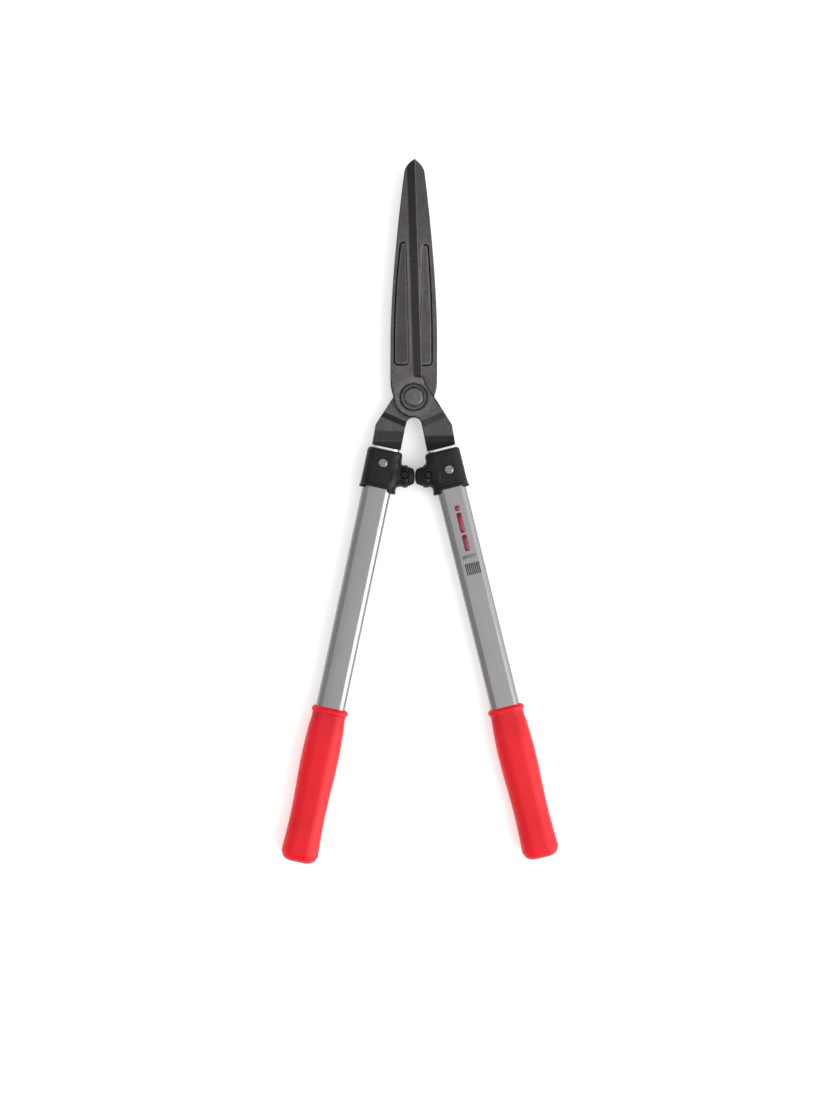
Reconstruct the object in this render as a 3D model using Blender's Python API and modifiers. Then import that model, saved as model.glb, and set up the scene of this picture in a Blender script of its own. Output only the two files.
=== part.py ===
"""Hedge shears, closed and lying flat on their grips and pivot bolt.

The frame is +Z up, +Y towards the blade tips and +X to the right seen from above.
The origin is on the pivot's axis, at the level of the surface the shears lie on.
Both blades are one forging each, turned over: the rear blade belongs to the left
handle, the front blade to the right handle. Lengths are in metres, angles in degrees.
"""
import math

import bmesh
import bpy
from mathutils import Matrix, Vector
from mathutils.geometry import interpolate_bezier, intersect_line_line_2d

# ---------------------------------------------------------------- general
MID_HEIGHT = 0.0140         # height of the plane in which the blades slide
GAP = 0.0003                # clearance between neighbouring pieces
OVERLAP = 0.0020            # how far a cutter runs past the surface it cuts
ROUND_STEPS = 28            # sides of a round piece
MERGE = 0.00001             # weld distance

# ---------------------------------------------------------------- blades
PLATE = 0.0050              # thickness of the forging at the pivot
INNER = GAP / 2             # height of a blade's inner face above the middle plane
TAPER_START = 0.030         # where the blade starts to thin towards its tip
TIP_THICKNESS = 0.0028
SPINE_X = -0.0226           # the straight part of the back of the blade
SPINE_LOW = 0.018
SPINE_HIGH = 0.0555
TIP_Y = 0.2308
TIP_LOW = Vector((-0.0100, 0.2165))         # where the back of the blade meets the tip's curve
TIP_LOW_GUIDE = Vector((-0.0091, 0.2236))   # that curve's two handles
TIP_HIGH_GUIDE = Vector((-0.0032, 0.2289))
LEAN = 0.0035               # sideways slope of the closed blades, as seen from the front
BOSS_RADIUS = 0.0195
BOSS_START = 186.0          # angle at which the back runs into the boss
EDGE_LOW = Vector((0.0083, 0.0200))
EDGE_HIGH = Vector((0.0010, TIP_Y))
BEVEL_WIDTH = 0.0088
EDGE_THICKNESS = 0.0008
BEVEL_CUTTER = Vector((0.016, 0.008, 0.012))    # its reach to the back, front and upwards
CROTCH_RADIUS = 0.0076
CROTCH_X = 0.0001
TANG_INNER_ANGLE = 11.5     # slopes of the tang's two edges off the Y axis
TANG_OUTER_ANGLE = 9.7
NECK_LOW = Vector((0.0185, 0.0025))
SHOULDER = Vector((0.0369, -0.0262))
SHOULDER_RADIUS = 0.0070
BOLT_HOLE_RADIUS = 0.00635
BACK_GUIDE = Vector((-0.0221, 0.110))       # guide point of the long curve of the back
BACK_TIP_REACH = 0.041      # how far that curve follows the tip's own slope
HIP_REACH_HIGH = 0.012      # the same at both ends of the curve into the boss
HIP_REACH_LOW = 0.006
NECK_REACH_LOW = 0.0055     # and at both ends of the curve from shoulder to edge
NECK_REACH_HIGH = Vector((0.0012, -0.0070))
NECK_HIGH = Vector((0.0101, 0.0187))

# the long panel sunk into both faces of each blade
PANEL_DEPTH = 0.0008
PANEL_LEFT = -0.0182
PANEL_RIGHT = -0.0038
PANEL_BOTTOM = 0.0304
PANEL_TOP = Vector((-0.0102, 0.1470))
PANEL_TOP_RADIUS = 0.0032
PANEL_CORNER = 0.0038
PANEL_SIDE_LOW = 0.050      # height where the curved side of the panel becomes straight
PANEL_SIDE_GUIDES = (Vector((-0.0157, 0.122)), Vector((PANEL_LEFT, 0.090)))

# the step that brings each tang to the middle plane
JOGGLE_CENTRE = Vector((0.01875, -0.02125))
JOGGLE_ANGLE = 24.3
JOGGLE_WIDTH = 0.0048

# ---------------------------------------------------------------- handles
# tube end centre in the plane, slope off the Y axis, screw place along and across,
# and the X of the buffer boss's end face
HANDLES = {
    "left": {"end": Vector((-0.0272, -0.0483)), "slope": 11.95, "side": -1,
             "screw": (0.0157, -0.0009), "boss_end": -0.0052, "grip_end": 0.4090},
    "right": {"end": Vector((0.0268, -0.0490)), "slope": 13.85, "side": 1,
              "screw": (0.0222, 0.0018), "boss_end": 0.0083, "grip_end": 0.4070},
}
TUBE_WIDTH = 0.0280
TUBE_THICKNESS = 0.0170
TUBE_CORNER = 0.0063
TUBE_WALL = 0.0015
TUBE_LENGTH = 0.3980
CORNER_STEPS = 5
TONGUE_WIDTH = 0.0242
TONGUE_LENGTH = 0.0580
TONGUE_CORNER = 0.0030
SHOULDER_GAP = 0.0004
INSERT_START = 0.0010       # how deep the tang inserts sit in the tube

# ---------------------------------------------------------------- collars
COLLAR_START = 0.0026       # distances along the tube from its upper end
COLLAR_END = 0.0396
COLLAR_OUTER_WALL = 0.0027
COLLAR_INNER_WALL = 0.0042
COLLAR_THICKNESS = 0.0214
COLLAR_CORNER = 0.0086
COLLAR_ROUND = 0.0030
COLLAR_BEAD = 0.0008
COLLAR_BEAD_LENGTH = 0.0026
COLLAR_EAR = 0.0022
COLLAR_EAR_START = 0.0105   # distance off the centre line where the ears begin
COLLAR_EAR_RUN = 0.0040     # and over which they reach their full depth
COLLAR_EDGE = 0.0006        # chamfer of the lower rim
BOSS_Y = -0.0763
BOSS_BODY_RADIUS = 0.0109
BOSS_LENGTH = 0.0154
BOSS_ROOT_RADIUS = 0.0095
BOSS_TAPER = 0.0060
BOSS_ROUND = 0.0030
SOCKET_RADIUS = 0.0052
SOCKET_DEPTH = 0.0080
WINDOW_RADIUS = 0.0036
WINDOW_DEPTH = 0.0043
CONTACT_X = 0.0011          # where the two rubber buffers meet
BUFFER_RADIUS = 0.0082
BUFFER_ROUND = 0.0035
LUG_HEIGHT = 0.0104

# ---------------------------------------------------------------- collar fasteners
SCREW_RADIUS = 0.0024
SCREW_HOLE_RADIUS = 0.0027
SCREW_HEAD_RADIUS = 0.00465
SCREW_HEAD_HEIGHT = 0.0027
SCREW_CROWN = ((0.0022, 0.0002), (0.0037, 0.0009), (SCREW_HEAD_RADIUS, 0.0021))
SCREW_SLOT_LENGTH = 0.0052
SCREW_SLOT = 0.0011
SCREW_SLOT_DEPTH = 0.0013
NUT_FLATS = 0.0080
NUT_LOW = -0.0131
NUT_HIGH = -0.0101
PAD_RADIUS = 0.0066
PAD_LOW = -0.0132

# ---------------------------------------------------------------- pivot fasteners
BOLT_RADIUS = 0.0060
FLANGE_RADIUS = 0.0130
FLANGE_HEIGHT = 0.0017
HEAD_FLATS = 0.0178
HEAD_HEIGHT = 0.0048
HEAD_DOME = 0.0005
HEAD_TURN = 34.0
DOME_FLAT_RADIUS = 0.0053   # flat part of the domed top
DOME_RADIUS = 0.0084
BOLT_CHAMFER = 0.0008
FLANGE_BEVEL = 0.0020
HEAD_ROOT = 0.0010          # how deep the hexagon and dome start inside the flange's height
WASHER_RADIUS = 0.0125
WASHER_THICKNESS = 0.0013
SPRING_RADIUS = 0.0105
SPRING_THICKNESS = 0.0007
SPRING_DISH = 0.0005
PIVOT_NUT_FLATS = 0.0180
PIVOT_NUT_HEIGHT = 0.0048
INSERT_RADIUS = 0.0078
INSERT_HEIGHT = 0.0014

# ---------------------------------------------------------------- grips
GRIP_START = 0.2565
GRIP_END_ROUND = 0.0090
GRIP_FULLNESS = 0.46        # corner radius of the grip's section over its thickness
PLUG_FLANGE = 0.0030
PLUG_STEM = 0.0140
# distance along the tube, width and thickness of the grip's outside
GRIP_STATIONS = (
    (0.2565, 0.0318, 0.0214),
    (0.2580, 0.0342, 0.0238),
    (0.2604, 0.0355, 0.0250),
    (0.2627, 0.0343, 0.0240),
    (0.2645, 0.0321, 0.0223),
    (0.2800, 0.0346, 0.0256),
    (0.3000, 0.0362, 0.0280),
    (0.3200, 0.0358, 0.0276),
    (0.3430, 0.0342, 0.0260),
    (0.3650, 0.0335, 0.0252),
    (0.3840, 0.0345, 0.0266),
    (0.4000, 0.0360, 0.0280),
)


# ================================================================ scene set-up
def clear_scene():
    for obj in list(bpy.data.objects):
        bpy.data.objects.remove(obj, do_unlink=True)


def new_collection(name):
    collection = bpy.data.collections.new(name)
    bpy.context.scene.collection.children.link(collection)
    return collection


def make_material(name, colour, roughness, metallic):
    material = bpy.data.materials.new(name)
    material.use_nodes = True
    material.diffuse_color = (*colour, 1.0)
    shader = material.node_tree.nodes["Principled BSDF"]
    shader.inputs["Base Color"].default_value = (*colour, 1.0)
    shader.inputs["Roughness"].default_value = roughness
    shader.inputs["Metallic"].default_value = metallic
    return material


clear_scene()
PARTS = new_collection("hedge_shears")
CUTTERS = new_collection("cutters")
BLADE_STEEL = make_material("blade_steel", (0.10, 0.09, 0.095), 0.45, 0.9)
DARK_STEEL = make_material("dark_steel", (0.11, 0.10, 0.105), 0.40, 0.9)
ZINC_STEEL = make_material("zinc_steel", (0.45, 0.47, 0.47), 0.35, 1.0)
NYLON = make_material("nylon", (0.70, 0.72, 0.75), 0.50, 0.0)
TUBE_ALUMINIUM = make_material("tube_aluminium", (0.55, 0.54, 0.55), 0.35, 1.0)
BLACK_PLASTIC = make_material("black_plastic", (0.025, 0.023, 0.024), 0.45, 0.0)
BLACK_RUBBER = make_material("black_rubber", (0.015, 0.014, 0.014), 0.75, 0.0)
GREY_PLASTIC = make_material("grey_plastic", (0.20, 0.20, 0.20), 0.55, 0.0)
RED_GRIP = make_material("red_grip", (0.80, 0.03, 0.04), 0.45, 0.0)


# ================================================================ building blocks
def add_object(name, mesh, collection=PARTS, material=None):
    obj = bpy.data.objects.new(name, mesh)
    collection.objects.link(obj)
    if material:
        mesh.materials.append(material)
    if collection is CUTTERS:
        obj.hide_render = True
        obj.display_type = "WIRE"
    return obj


def add_empty(name, place, parent=None):
    """An empty that carries a group of pieces; place is in the parent's frame."""
    empty = bpy.data.objects.new(name, None)
    PARTS.objects.link(empty)
    empty.parent = parent
    empty.matrix_local = place
    return empty


def circle_point(centre, radius, angle):
    return Vector((centre[0] + radius * math.cos(math.radians(angle)),
                   centre[1] + radius * math.sin(math.radians(angle))))


def arc(centre, radius, start, end, steps):
    """Points on a circular arc, both ends included."""
    return [circle_point(centre, radius, start + (end - start) * step / steps)
            for step in range(steps + 1)]


def bend(start, start_handle, end_handle, end, steps):
    """Points on a Bezier curve, both ends included."""
    points = interpolate_bezier(start.to_3d(), start_handle.to_3d(),
                                end_handle.to_3d(), end.to_3d(), steps + 1)
    return [point.to_2d() for point in points]


def rounded_corner(before, corner, after, radius, steps):
    """Points on the arc that rounds the corner between two straight edges."""
    back = (before - corner).normalized()
    ahead = (after - corner).normalized()
    half = back.angle(ahead) / 2
    centre = corner + (back + ahead).normalized() * radius / math.sin(half)
    start = corner + back * radius / math.tan(half) - centre
    end = corner + ahead * radius / math.tan(half) - centre
    turn = start.angle_signed(end)
    return [centre + Matrix.Rotation(-turn * step / steps, 2) @ start
            for step in range(steps + 1)]


def oval(width, thickness, corner, centre_x=0.0):
    """A rectangle with round corners, in the X-Z plane of a handle."""
    points = []
    for quarter, (sign_x, sign_z) in enumerate(((1, 1), (-1, 1), (-1, -1), (1, -1))):
        centre = (centre_x + sign_x * (width / 2 - corner), sign_z * (thickness / 2 - corner))
        points += arc(centre, corner, 90 * quarter, 90 * quarter + 90, CORNER_STEPS)
    return points


def ring(outline, distance):
    """An outline in the X-Z plane, set square to the tube at a distance from its end."""
    return [Vector((x, -distance, z)) for x, z in outline]


def plate(name, outline, low, high, collection=PARTS, material=None):
    """A flat plate with the given outline, between two heights."""
    curve = bpy.data.curves.new(name, "CURVE")
    curve.dimensions = "2D"
    curve.fill_mode = "BOTH"
    curve.extrude = (high - low) / 2
    spline = curve.splines.new("POLY")
    spline.points.add(len(outline) - 1)
    for point, place in zip(spline.points, outline):
        point.co = (place[0], place[1], 0.0, 1.0)
    spline.use_cyclic_u = True
    guide = bpy.data.objects.new(name + "_guide", curve)
    CUTTERS.objects.link(guide)
    mesh = evaluated_mesh(guide)
    bpy.data.objects.remove(guide)
    mesh.transform(Matrix.Translation((0.0, 0.0, (low + high) / 2)))
    tidy_mesh(mesh)
    return add_object(name, mesh, collection, material)


def evaluated_mesh(obj):
    """The mesh of an object with its modifiers, in the object's own frame."""
    graph = bpy.context.evaluated_depsgraph_get()
    graph.update()
    return bpy.data.meshes.new_from_object(obj.evaluated_get(graph))


def tidy_mesh(mesh):
    """Weld a mesh and turn its faces outwards."""
    shape = bmesh.new()
    shape.from_mesh(mesh)
    bmesh.ops.remove_doubles(shape, verts=shape.verts, dist=MERGE)
    bmesh.ops.recalc_face_normals(shape, faces=shape.faces)
    shape.to_mesh(mesh)
    shape.free()


def loft(name, rings, closed=False, collection=PARTS, material=None):
    """A skin through rings of equal counts, capped unless its last ring joins its first."""
    shape = bmesh.new()
    rows = [[shape.verts.new(point) for point in points] for points in rings]
    pairs = list(zip(rows, rows[1:]))
    if closed:
        pairs.append((rows[-1], rows[0]))
    else:
        shape.faces.new(rows[0])
        shape.faces.new(rows[-1])
    for near, far in pairs:
        for place in range(len(near)):
            after = (place + 1) % len(near)
            shape.faces.new((near[place], near[after], far[after], far[place]))
    bmesh.ops.recalc_face_normals(shape, faces=shape.faces)
    mesh = bpy.data.meshes.new(name)
    shape.to_mesh(mesh)
    shape.free()
    return add_object(name, mesh, collection, material)


def turned(name, profile, collection=PARTS, material=None):
    """A turned solid about Z; its profile runs from the top down, as (radius, height)."""
    mesh = bpy.data.meshes.new(name)
    points = [(radius, 0.0, height) for radius, height in profile]
    edges = [(place, place + 1) for place in range(len(points) - 1)]
    mesh.from_pydata(points, edges, [])
    obj = add_object(name, mesh, collection, material)
    screw = obj.modifiers.new("Turn", "SCREW")
    screw.steps = ROUND_STEPS
    screw.render_steps = ROUND_STEPS
    screw.use_merge_vertices = True
    screw.merge_threshold = MERGE
    return obj


def cylinder(name, radius, low, high, collection=CUTTERS, material=None, sides=ROUND_STEPS):
    """An upright cylinder, or a prism with few sides, between two heights."""
    shape = bmesh.new()
    place = Matrix.Translation((0.0, 0.0, (low + high) / 2))
    bmesh.ops.create_cone(shape, cap_ends=True, segments=sides, radius1=radius,
                          radius2=radius, depth=high - low, matrix=place)
    mesh = bpy.data.meshes.new(name)
    shape.to_mesh(mesh)
    shape.free()
    return add_object(name, mesh, collection, material)


def box(name, low, high, collection=CUTTERS):
    """A box between two corners."""
    low, high = Vector(low), Vector(high)
    shape = bmesh.new()
    place = Matrix.Translation((low + high) / 2) @ Matrix.Diagonal((*(high - low), 1.0))
    bmesh.ops.create_cube(shape, size=1.0, matrix=place)
    mesh = bpy.data.meshes.new(name)
    shape.to_mesh(mesh)
    shape.free()
    return add_object(name, mesh, collection)


def hexagon(name, flats, low, high, collection=CUTTERS, material=None):
    """A hexagonal prism, given its width across the flats."""
    return cylinder(name, flats / math.sqrt(3), low, high, collection, material, sides=6)


def combine(target, other, operation):
    boolean = target.modifiers.new(other.name, "BOOLEAN")
    boolean.operation = operation
    boolean.object = other
    return target


def cut(target, *cutters):
    for cutter in cutters:
        combine(target, cutter, "DIFFERENCE")


def join(target, *others):
    for other in others:
        combine(target, other, "UNION")


def place_under(obj, parent, matrix=Matrix.Identity(4)):
    """Move a piece, and whatever cuts or joins it, into the frame of its parent."""
    helpers = [modifier.object for modifier in obj.modifiers if modifier.type == "BOOLEAN"]
    for member in (obj, *helpers):
        member.parent = parent
        member.matrix_basis = matrix @ member.matrix_basis


# ================================================================ blades
def meeting_point(point, direction, other_point, other_direction):
    return intersect_line_line_2d(point - direction, point + direction,
                                  other_point - other_direction, other_point + other_direction)


def blade_outline(tube_end, slope):
    """The front blade's outline seen from above, for a tube on its lower right."""
    tip = bend(EDGE_HIGH, TIP_HIGH_GUIDE, TIP_LOW_GUIDE, TIP_LOW, 8)
    tip_slope = (TIP_LOW_GUIDE - TIP_LOW).normalized()
    back = bend(TIP_LOW, TIP_LOW - tip_slope * BACK_TIP_REACH, BACK_GUIDE,
                Vector((SPINE_X, SPINE_HIGH)), 12)
    boss_start = circle_point((0, 0), BOSS_RADIUS, BOSS_START)
    boss_slope = circle_point((0, 0), 1.0, BOSS_START + 90)
    hip = bend(Vector((SPINE_X, SPINE_LOW)), Vector((SPINE_X, SPINE_LOW - HIP_REACH_HIGH)),
               boss_start - boss_slope * HIP_REACH_LOW, boss_start, 6)
    boss = arc((0, 0), BOSS_RADIUS, BOSS_START, 270, 12)
    crotch_centre = (CROTCH_X, -BOSS_RADIUS - CROTCH_RADIUS)
    crotch = arc(crotch_centre, CROTCH_RADIUS, 88, TANG_INNER_ANGLE, 8)

    inner_way = circle_point((0, 0), 1.0, TANG_INNER_ANGLE - 90)
    outer_way = circle_point((0, 0), 1.0, TANG_OUTER_ANGLE - 90)
    tube_way = circle_point((0, 0), 1.0, slope - 90)
    across = Vector((-tube_way.y, tube_way.x))
    stop = tube_end - tube_way * SHOULDER_GAP
    inner_stop = meeting_point(crotch[-1], inner_way, stop, across)
    outer_stop = meeting_point(SHOULDER, outer_way, stop, across)
    half = across * TONGUE_WIDTH / 2
    tongue_end = tube_end + tube_way * TONGUE_LENGTH
    tongue = [stop - half]
    tongue += rounded_corner(stop - half, tongue_end - half, tongue_end, TONGUE_CORNER, 3)
    tongue += rounded_corner(tongue_end, tongue_end + half, stop + half, TONGUE_CORNER, 3)
    tongue += [stop + half]
    shoulder = rounded_corner(outer_stop, SHOULDER, NECK_LOW, SHOULDER_RADIUS, 5)
    neck_way = (NECK_LOW - SHOULDER).normalized()
    neck = bend(NECK_LOW, NECK_LOW + neck_way * NECK_REACH_LOW, NECK_HIGH + NECK_REACH_HIGH,
                NECK_HIGH, 6)
    outline = tip + back[1:] + hip + boss[1:] + crotch + [inner_stop] + tongue
    return outline + [outer_stop] + shoulder + neck + [EDGE_LOW]


def panel_outline():
    """The sunk panel: straight towards the edge, curved along the back of the blade."""
    top = arc(PANEL_TOP, PANEL_TOP_RADIUS, 0, 180, 8)
    side = bend(top[-1], *PANEL_SIDE_GUIDES, Vector((PANEL_LEFT, PANEL_SIDE_LOW)), 8)
    left_centre = (PANEL_LEFT + PANEL_CORNER, PANEL_BOTTOM + PANEL_CORNER)
    right_centre = (PANEL_RIGHT - PANEL_CORNER, PANEL_BOTTOM + PANEL_CORNER)
    corners = arc(left_centre, PANEL_CORNER, 180, 270, 4)
    corners += arc(right_centre, PANEL_CORNER, 270, 360, 4)
    return top + side[1:] + corners


def bevel_cutter():
    """A box whose underside is the ground slope along the cutting edge."""
    along = EDGE_HIGH - EDGE_LOW
    wedge = box("bevel_cutter", (-BEVEL_CUTTER.x, 0.0, 0.0),
                (BEVEL_CUTTER.y, along.length + OVERLAP, BEVEL_CUTTER.z))
    slope = math.atan2(PLATE - EDGE_THICKNESS, BEVEL_WIDTH)
    place = Matrix.Translation((*EDGE_LOW, INNER + EDGE_THICKNESS))
    turn = Matrix.Rotation(-math.atan2(along.x, along.y), 4, "Z")
    wedge.matrix_world = place @ turn @ Matrix.Rotation(slope, 4, "Y")
    return wedge


def form_blade(mesh, lean):
    """Bend the flat plate's tang down to the middle plane and thin the blade to its tip."""
    normal = circle_point((0, 0), 1.0, JOGGLE_ANGLE + 90)
    shape = bmesh.new()
    shape.from_mesh(mesh)
    cuts = [((0.0, TAPER_START, 0.0), (0.0, 1.0, 0.0))]
    for side in (-1, 1):
        point = JOGGLE_CENTRE + normal * side * JOGGLE_WIDTH / 2
        cuts.append((point.to_3d(), normal.to_3d()))
    for point, direction in cuts:
        geometry = shape.verts[:] + shape.edges[:] + shape.faces[:]
        bmesh.ops.bisect_plane(shape, geom=geometry, plane_co=point, plane_no=direction)
    bmesh.ops.triangulate(shape, faces=shape.faces)
    for vert in shape.verts:
        above = (vert.co.xy - JOGGLE_CENTRE).dot(normal)
        bent = min(max(0.5 - above / JOGGLE_WIDTH, 0.0), 1.0)
        thinned = max(vert.co.y - TAPER_START, 0.0) / (TIP_Y - TAPER_START)
        scale = 1.0 - (1.0 - TIP_THICKNESS / PLATE) * thinned
        vert.co.z = INNER + (vert.co.z - INNER) * scale - (INNER + PLATE / 2) * bent
        vert.co.x += lean * max(vert.co.y - TAPER_START, 0.0)
    shape.to_mesh(mesh)
    shape.free()


def make_blade(name, handle):
    """One forged blade with its tang, in the front blade's place on the middle plane."""
    spec = HANDLES[handle]
    tube_end = Vector((abs(spec["end"].x), spec["end"].y))
    flat = plate(name + "_flat", blade_outline(tube_end, spec["slope"]), INNER, INNER + PLATE,
                 CUTTERS)
    panels = []
    for face, low, high in (("outer", PLATE - PANEL_DEPTH, PLATE + OVERLAP),
                            ("inner", -OVERLAP, PANEL_DEPTH)):
        panels.append(plate(f"{name}_{face}_panel", panel_outline(), INNER + low, INNER + high,
                            CUTTERS))
    bolt_hole = cylinder(name + "_bolt_hole", BOLT_HOLE_RADIUS, -PLATE, 2 * PLATE)
    screw_hole = cylinder(name + "_screw_hole", SCREW_HOLE_RADIUS, -PLATE, 2 * PLATE)
    along, across = spec["screw"]
    turn = Matrix.Rotation(math.radians(spec["slope"]), 4, "Z")
    end = Matrix.Translation(tube_end.to_3d())
    screw_hole.matrix_world = end @ turn @ Matrix.Translation((across, -along, 0.0))
    cutters = [*panels, bolt_hole, screw_hole, bevel_cutter()]
    cut(flat, *cutters)
    mesh = evaluated_mesh(flat)
    form_blade(mesh, LEAN * spec["side"])
    for helper in (flat, *cutters):
        bpy.data.objects.remove(helper)
    return add_object(name, mesh, PARTS, BLADE_STEEL)


# ================================================================ pivot fasteners
def make_pivot_bolt():
    """The flanged bolt through both blades: head in front, flat end on the ground."""
    face = INNER + PLATE + GAP
    end = -MID_HEIGHT
    top = face + FLANGE_HEIGHT
    bolt = turned("pivot_bolt", [
        (0.0, top), (FLANGE_RADIUS - FLANGE_BEVEL, top), (FLANGE_RADIUS, face + FLANGE_HEIGHT / 2),
        (FLANGE_RADIUS, face), (BOLT_RADIUS, face), (BOLT_RADIUS, end + BOLT_CHAMFER),
        (BOLT_RADIUS - BOLT_CHAMFER, end), (0.0, end)], material=DARK_STEEL)
    root = top - HEAD_ROOT
    head = hexagon("pivot_head_hexagon", HEAD_FLATS, root, top + HEAD_HEIGHT)
    head.rotation_euler.z = math.radians(HEAD_TURN)
    crown = top + HEAD_HEIGHT + HEAD_DOME
    dome = turned("pivot_head_dome", [
        (0.0, crown), (DOME_FLAT_RADIUS, crown), (DOME_RADIUS, top + HEAD_HEIGHT - MERGE),
        (DOME_RADIUS, top + HEAD_ROOT), (0.0, top + HEAD_ROOT)], CUTTERS)
    join(bolt, head, dome)
    return bolt


def make_pivot_stack():
    """The washer, dished spring washer and lock nut behind the rear blade."""
    hole = BOLT_RADIUS + GAP
    top = -INNER - PLATE - GAP
    washer = turned("pivot_washer", closed_ring(hole, WASHER_RADIUS, top - WASHER_THICKNESS, top),
                    material=ZINC_STEEL)
    top -= WASHER_THICKNESS + GAP
    rim = top - SPRING_THICKNESS
    spring = turned("pivot_spring_washer", [
        (hole, top - SPRING_DISH), (SPRING_RADIUS, top), (SPRING_RADIUS, rim),
        (hole, rim - SPRING_DISH), (hole, top - SPRING_DISH)], material=ZINC_STEEL)
    top = rim - SPRING_DISH - GAP
    low = top - PIVOT_NUT_HEIGHT
    nut = hexagon("pivot_nut", PIVOT_NUT_FLATS, low, top, PARTS, ZINC_STEEL)
    cut(nut, cylinder("pivot_nut_bore", hole, low - OVERLAP, top + OVERLAP),
        cylinder("pivot_nut_pocket", INSERT_RADIUS + GAP, low - OVERLAP,
                 low + INSERT_HEIGHT + GAP))
    insert = turned("pivot_nut_insert",
                    closed_ring(hole, INSERT_RADIUS, low, low + INSERT_HEIGHT), material=NYLON)
    return [washer, spring, nut, insert]


def closed_ring(inner, outer, low, high):
    """The profile of a plain ring, for turning."""
    return [(inner, high), (outer, high), (outer, low), (inner, low), (inner, high)]


# ================================================================ handle pieces
def make_tube(side):
    outer = oval(TUBE_WIDTH, TUBE_THICKNESS, TUBE_CORNER)
    inner = oval(TUBE_WIDTH - 2 * TUBE_WALL, TUBE_THICKNESS - 2 * TUBE_WALL,
                 TUBE_CORNER - TUBE_WALL)
    rings = [ring(outer, 0.0), ring(outer, TUBE_LENGTH), ring(inner, TUBE_LENGTH),
             ring(inner, 0.0)]
    tube = loft(side + "_tube", rings, closed=True, material=TUBE_ALUMINIUM)
    cut(tube, handle_hole(side, "tube"))
    return tube


def handle_hole(side, piece):
    """The collar screw's hole, in the handle's frame."""
    along, across = HANDLES[side]["screw"]
    across *= HANDLES[side]["side"]
    hole = cylinder(f"{side}_{piece}_screw_hole", SCREW_HOLE_RADIUS, -COLLAR_THICKNESS,
                    COLLAR_THICKNESS)
    hole.location = (across, -along, 0.0)
    return hole


def make_tang_inserts(side):
    """The two moulded halves that fill the tube above and below the tang."""
    clearance = 2 * (TUBE_WALL + GAP)
    section = oval(TUBE_WIDTH - clearance, TUBE_THICKNESS - clearance,
                   TUBE_CORNER - TUBE_WALL - GAP)
    pieces = []
    for name, sign in (("front", 1), ("back", -1)):
        insert = loft(f"{side}_tang_insert_{name}",
                      [ring(section, INSERT_START), ring(section, TONGUE_LENGTH)],
                      material=GREY_PLASTIC)
        face = sign * (PLATE / 2 + GAP)
        low, high = sorted((face, -sign * TUBE_THICKNESS))
        tang_space = box(f"{side}_{name}_tang_space", (-TUBE_WIDTH, -2 * TONGUE_LENGTH, low),
                         (TUBE_WIDTH, 0.0, high))
        cut(insert, tang_space, handle_hole(side, "insert_" + name))
        pieces.append(insert)
    return pieces


def collar_ring(side, distance, inset, ear):
    """A cross-section of the collar; its sides hang lower than its faces by ear."""
    width = TUBE_WIDTH + COLLAR_OUTER_WALL + COLLAR_INNER_WALL - 2 * inset
    thickness = COLLAR_THICKNESS - 1.2 * inset
    centre = side * (COLLAR_OUTER_WALL - COLLAR_INNER_WALL) / 2
    points = []
    for x, z in oval(width, thickness, COLLAR_CORNER - 0.5 * inset, centre):
        off_side = (abs(x - centre) - COLLAR_EAR_START) / COLLAR_EAR_RUN
        drop = min(max(off_side, 0.0), 1.0) * ear
        points.append(Vector((x, -distance - drop, z)))
    return points


def make_collar(handle):
    """The moulded collar round the tube's upper end, with its buffer boss."""
    spec = HANDLES[handle]
    side = spec["side"]
    bead = COLLAR_END - COLLAR_BEAD_LENGTH
    rings = [
        collar_ring(side, COLLAR_START, COLLAR_ROUND, 0.0),
        collar_ring(side, COLLAR_START + COLLAR_ROUND * 0.2, COLLAR_ROUND * 0.4, 0.0),
        collar_ring(side, COLLAR_START + COLLAR_ROUND, 0.0, 0.0),
        collar_ring(side, bead - COLLAR_BEAD / 2, 0.0, COLLAR_EAR),
        collar_ring(side, bead, -COLLAR_BEAD, COLLAR_EAR),
        collar_ring(side, COLLAR_END - COLLAR_EDGE, -COLLAR_BEAD, COLLAR_EAR),
        collar_ring(side, COLLAR_END, -COLLAR_BEAD + COLLAR_EDGE, COLLAR_EAR),
    ]
    collar = loft(handle + "_collar", rings, material=BLACK_PLASTIC)
    hole = handle_hole(handle, "collar")
    pad = cylinder(handle + "_nut_pad", PAD_RADIUS, PAD_LOW, 0.0)
    pocket = hexagon(handle + "_nut_pocket", NUT_FLATS + 2 * GAP, PAD_LOW - OVERLAP,
                     NUT_HIGH + GAP)
    for piece in (pad, pocket):
        piece.location = hole.location
    section = oval(TUBE_WIDTH + 2 * GAP, TUBE_THICKNESS + 2 * GAP, TUBE_CORNER + GAP)
    bore = loft(handle + "_tube_bore",
                [ring(section, -OVERLAP), ring(section, COLLAR_END + COLLAR_THICKNESS)],
                collection=CUTTERS)
    profile = [(0.0, 0.0), *boss_rounding(), (BOSS_BODY_RADIUS, -BOSS_TAPER),
               (BOSS_ROOT_RADIUS, -BOSS_LENGTH), (0.0, -BOSS_LENGTH)]
    boss = turned(handle + "_buffer_boss", profile, CUTTERS)
    socket = cylinder(handle + "_buffer_socket", SOCKET_RADIUS, -SOCKET_DEPTH, OVERLAP)
    window = cylinder(handle + "_buffer_window", WINDOW_RADIUS, SOCKET_RADIUS / 4,
                      COLLAR_THICKNESS)
    boss.matrix_basis = buffer_place(spec)
    socket.matrix_basis = buffer_place(spec)
    window.matrix_basis = window_place(spec)
    join(collar, boss, pad)
    cut(collar, window, bore, hole, pocket, socket)
    return collar


def boss_rounding():
    """The rounded rim of the buffer boss, as profile points from its end face."""
    centre = (BOSS_BODY_RADIUS - BOSS_ROUND, -BOSS_ROUND)
    return [tuple(point) for point in arc(centre, BOSS_ROUND, 90, 0, 3)]


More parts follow.
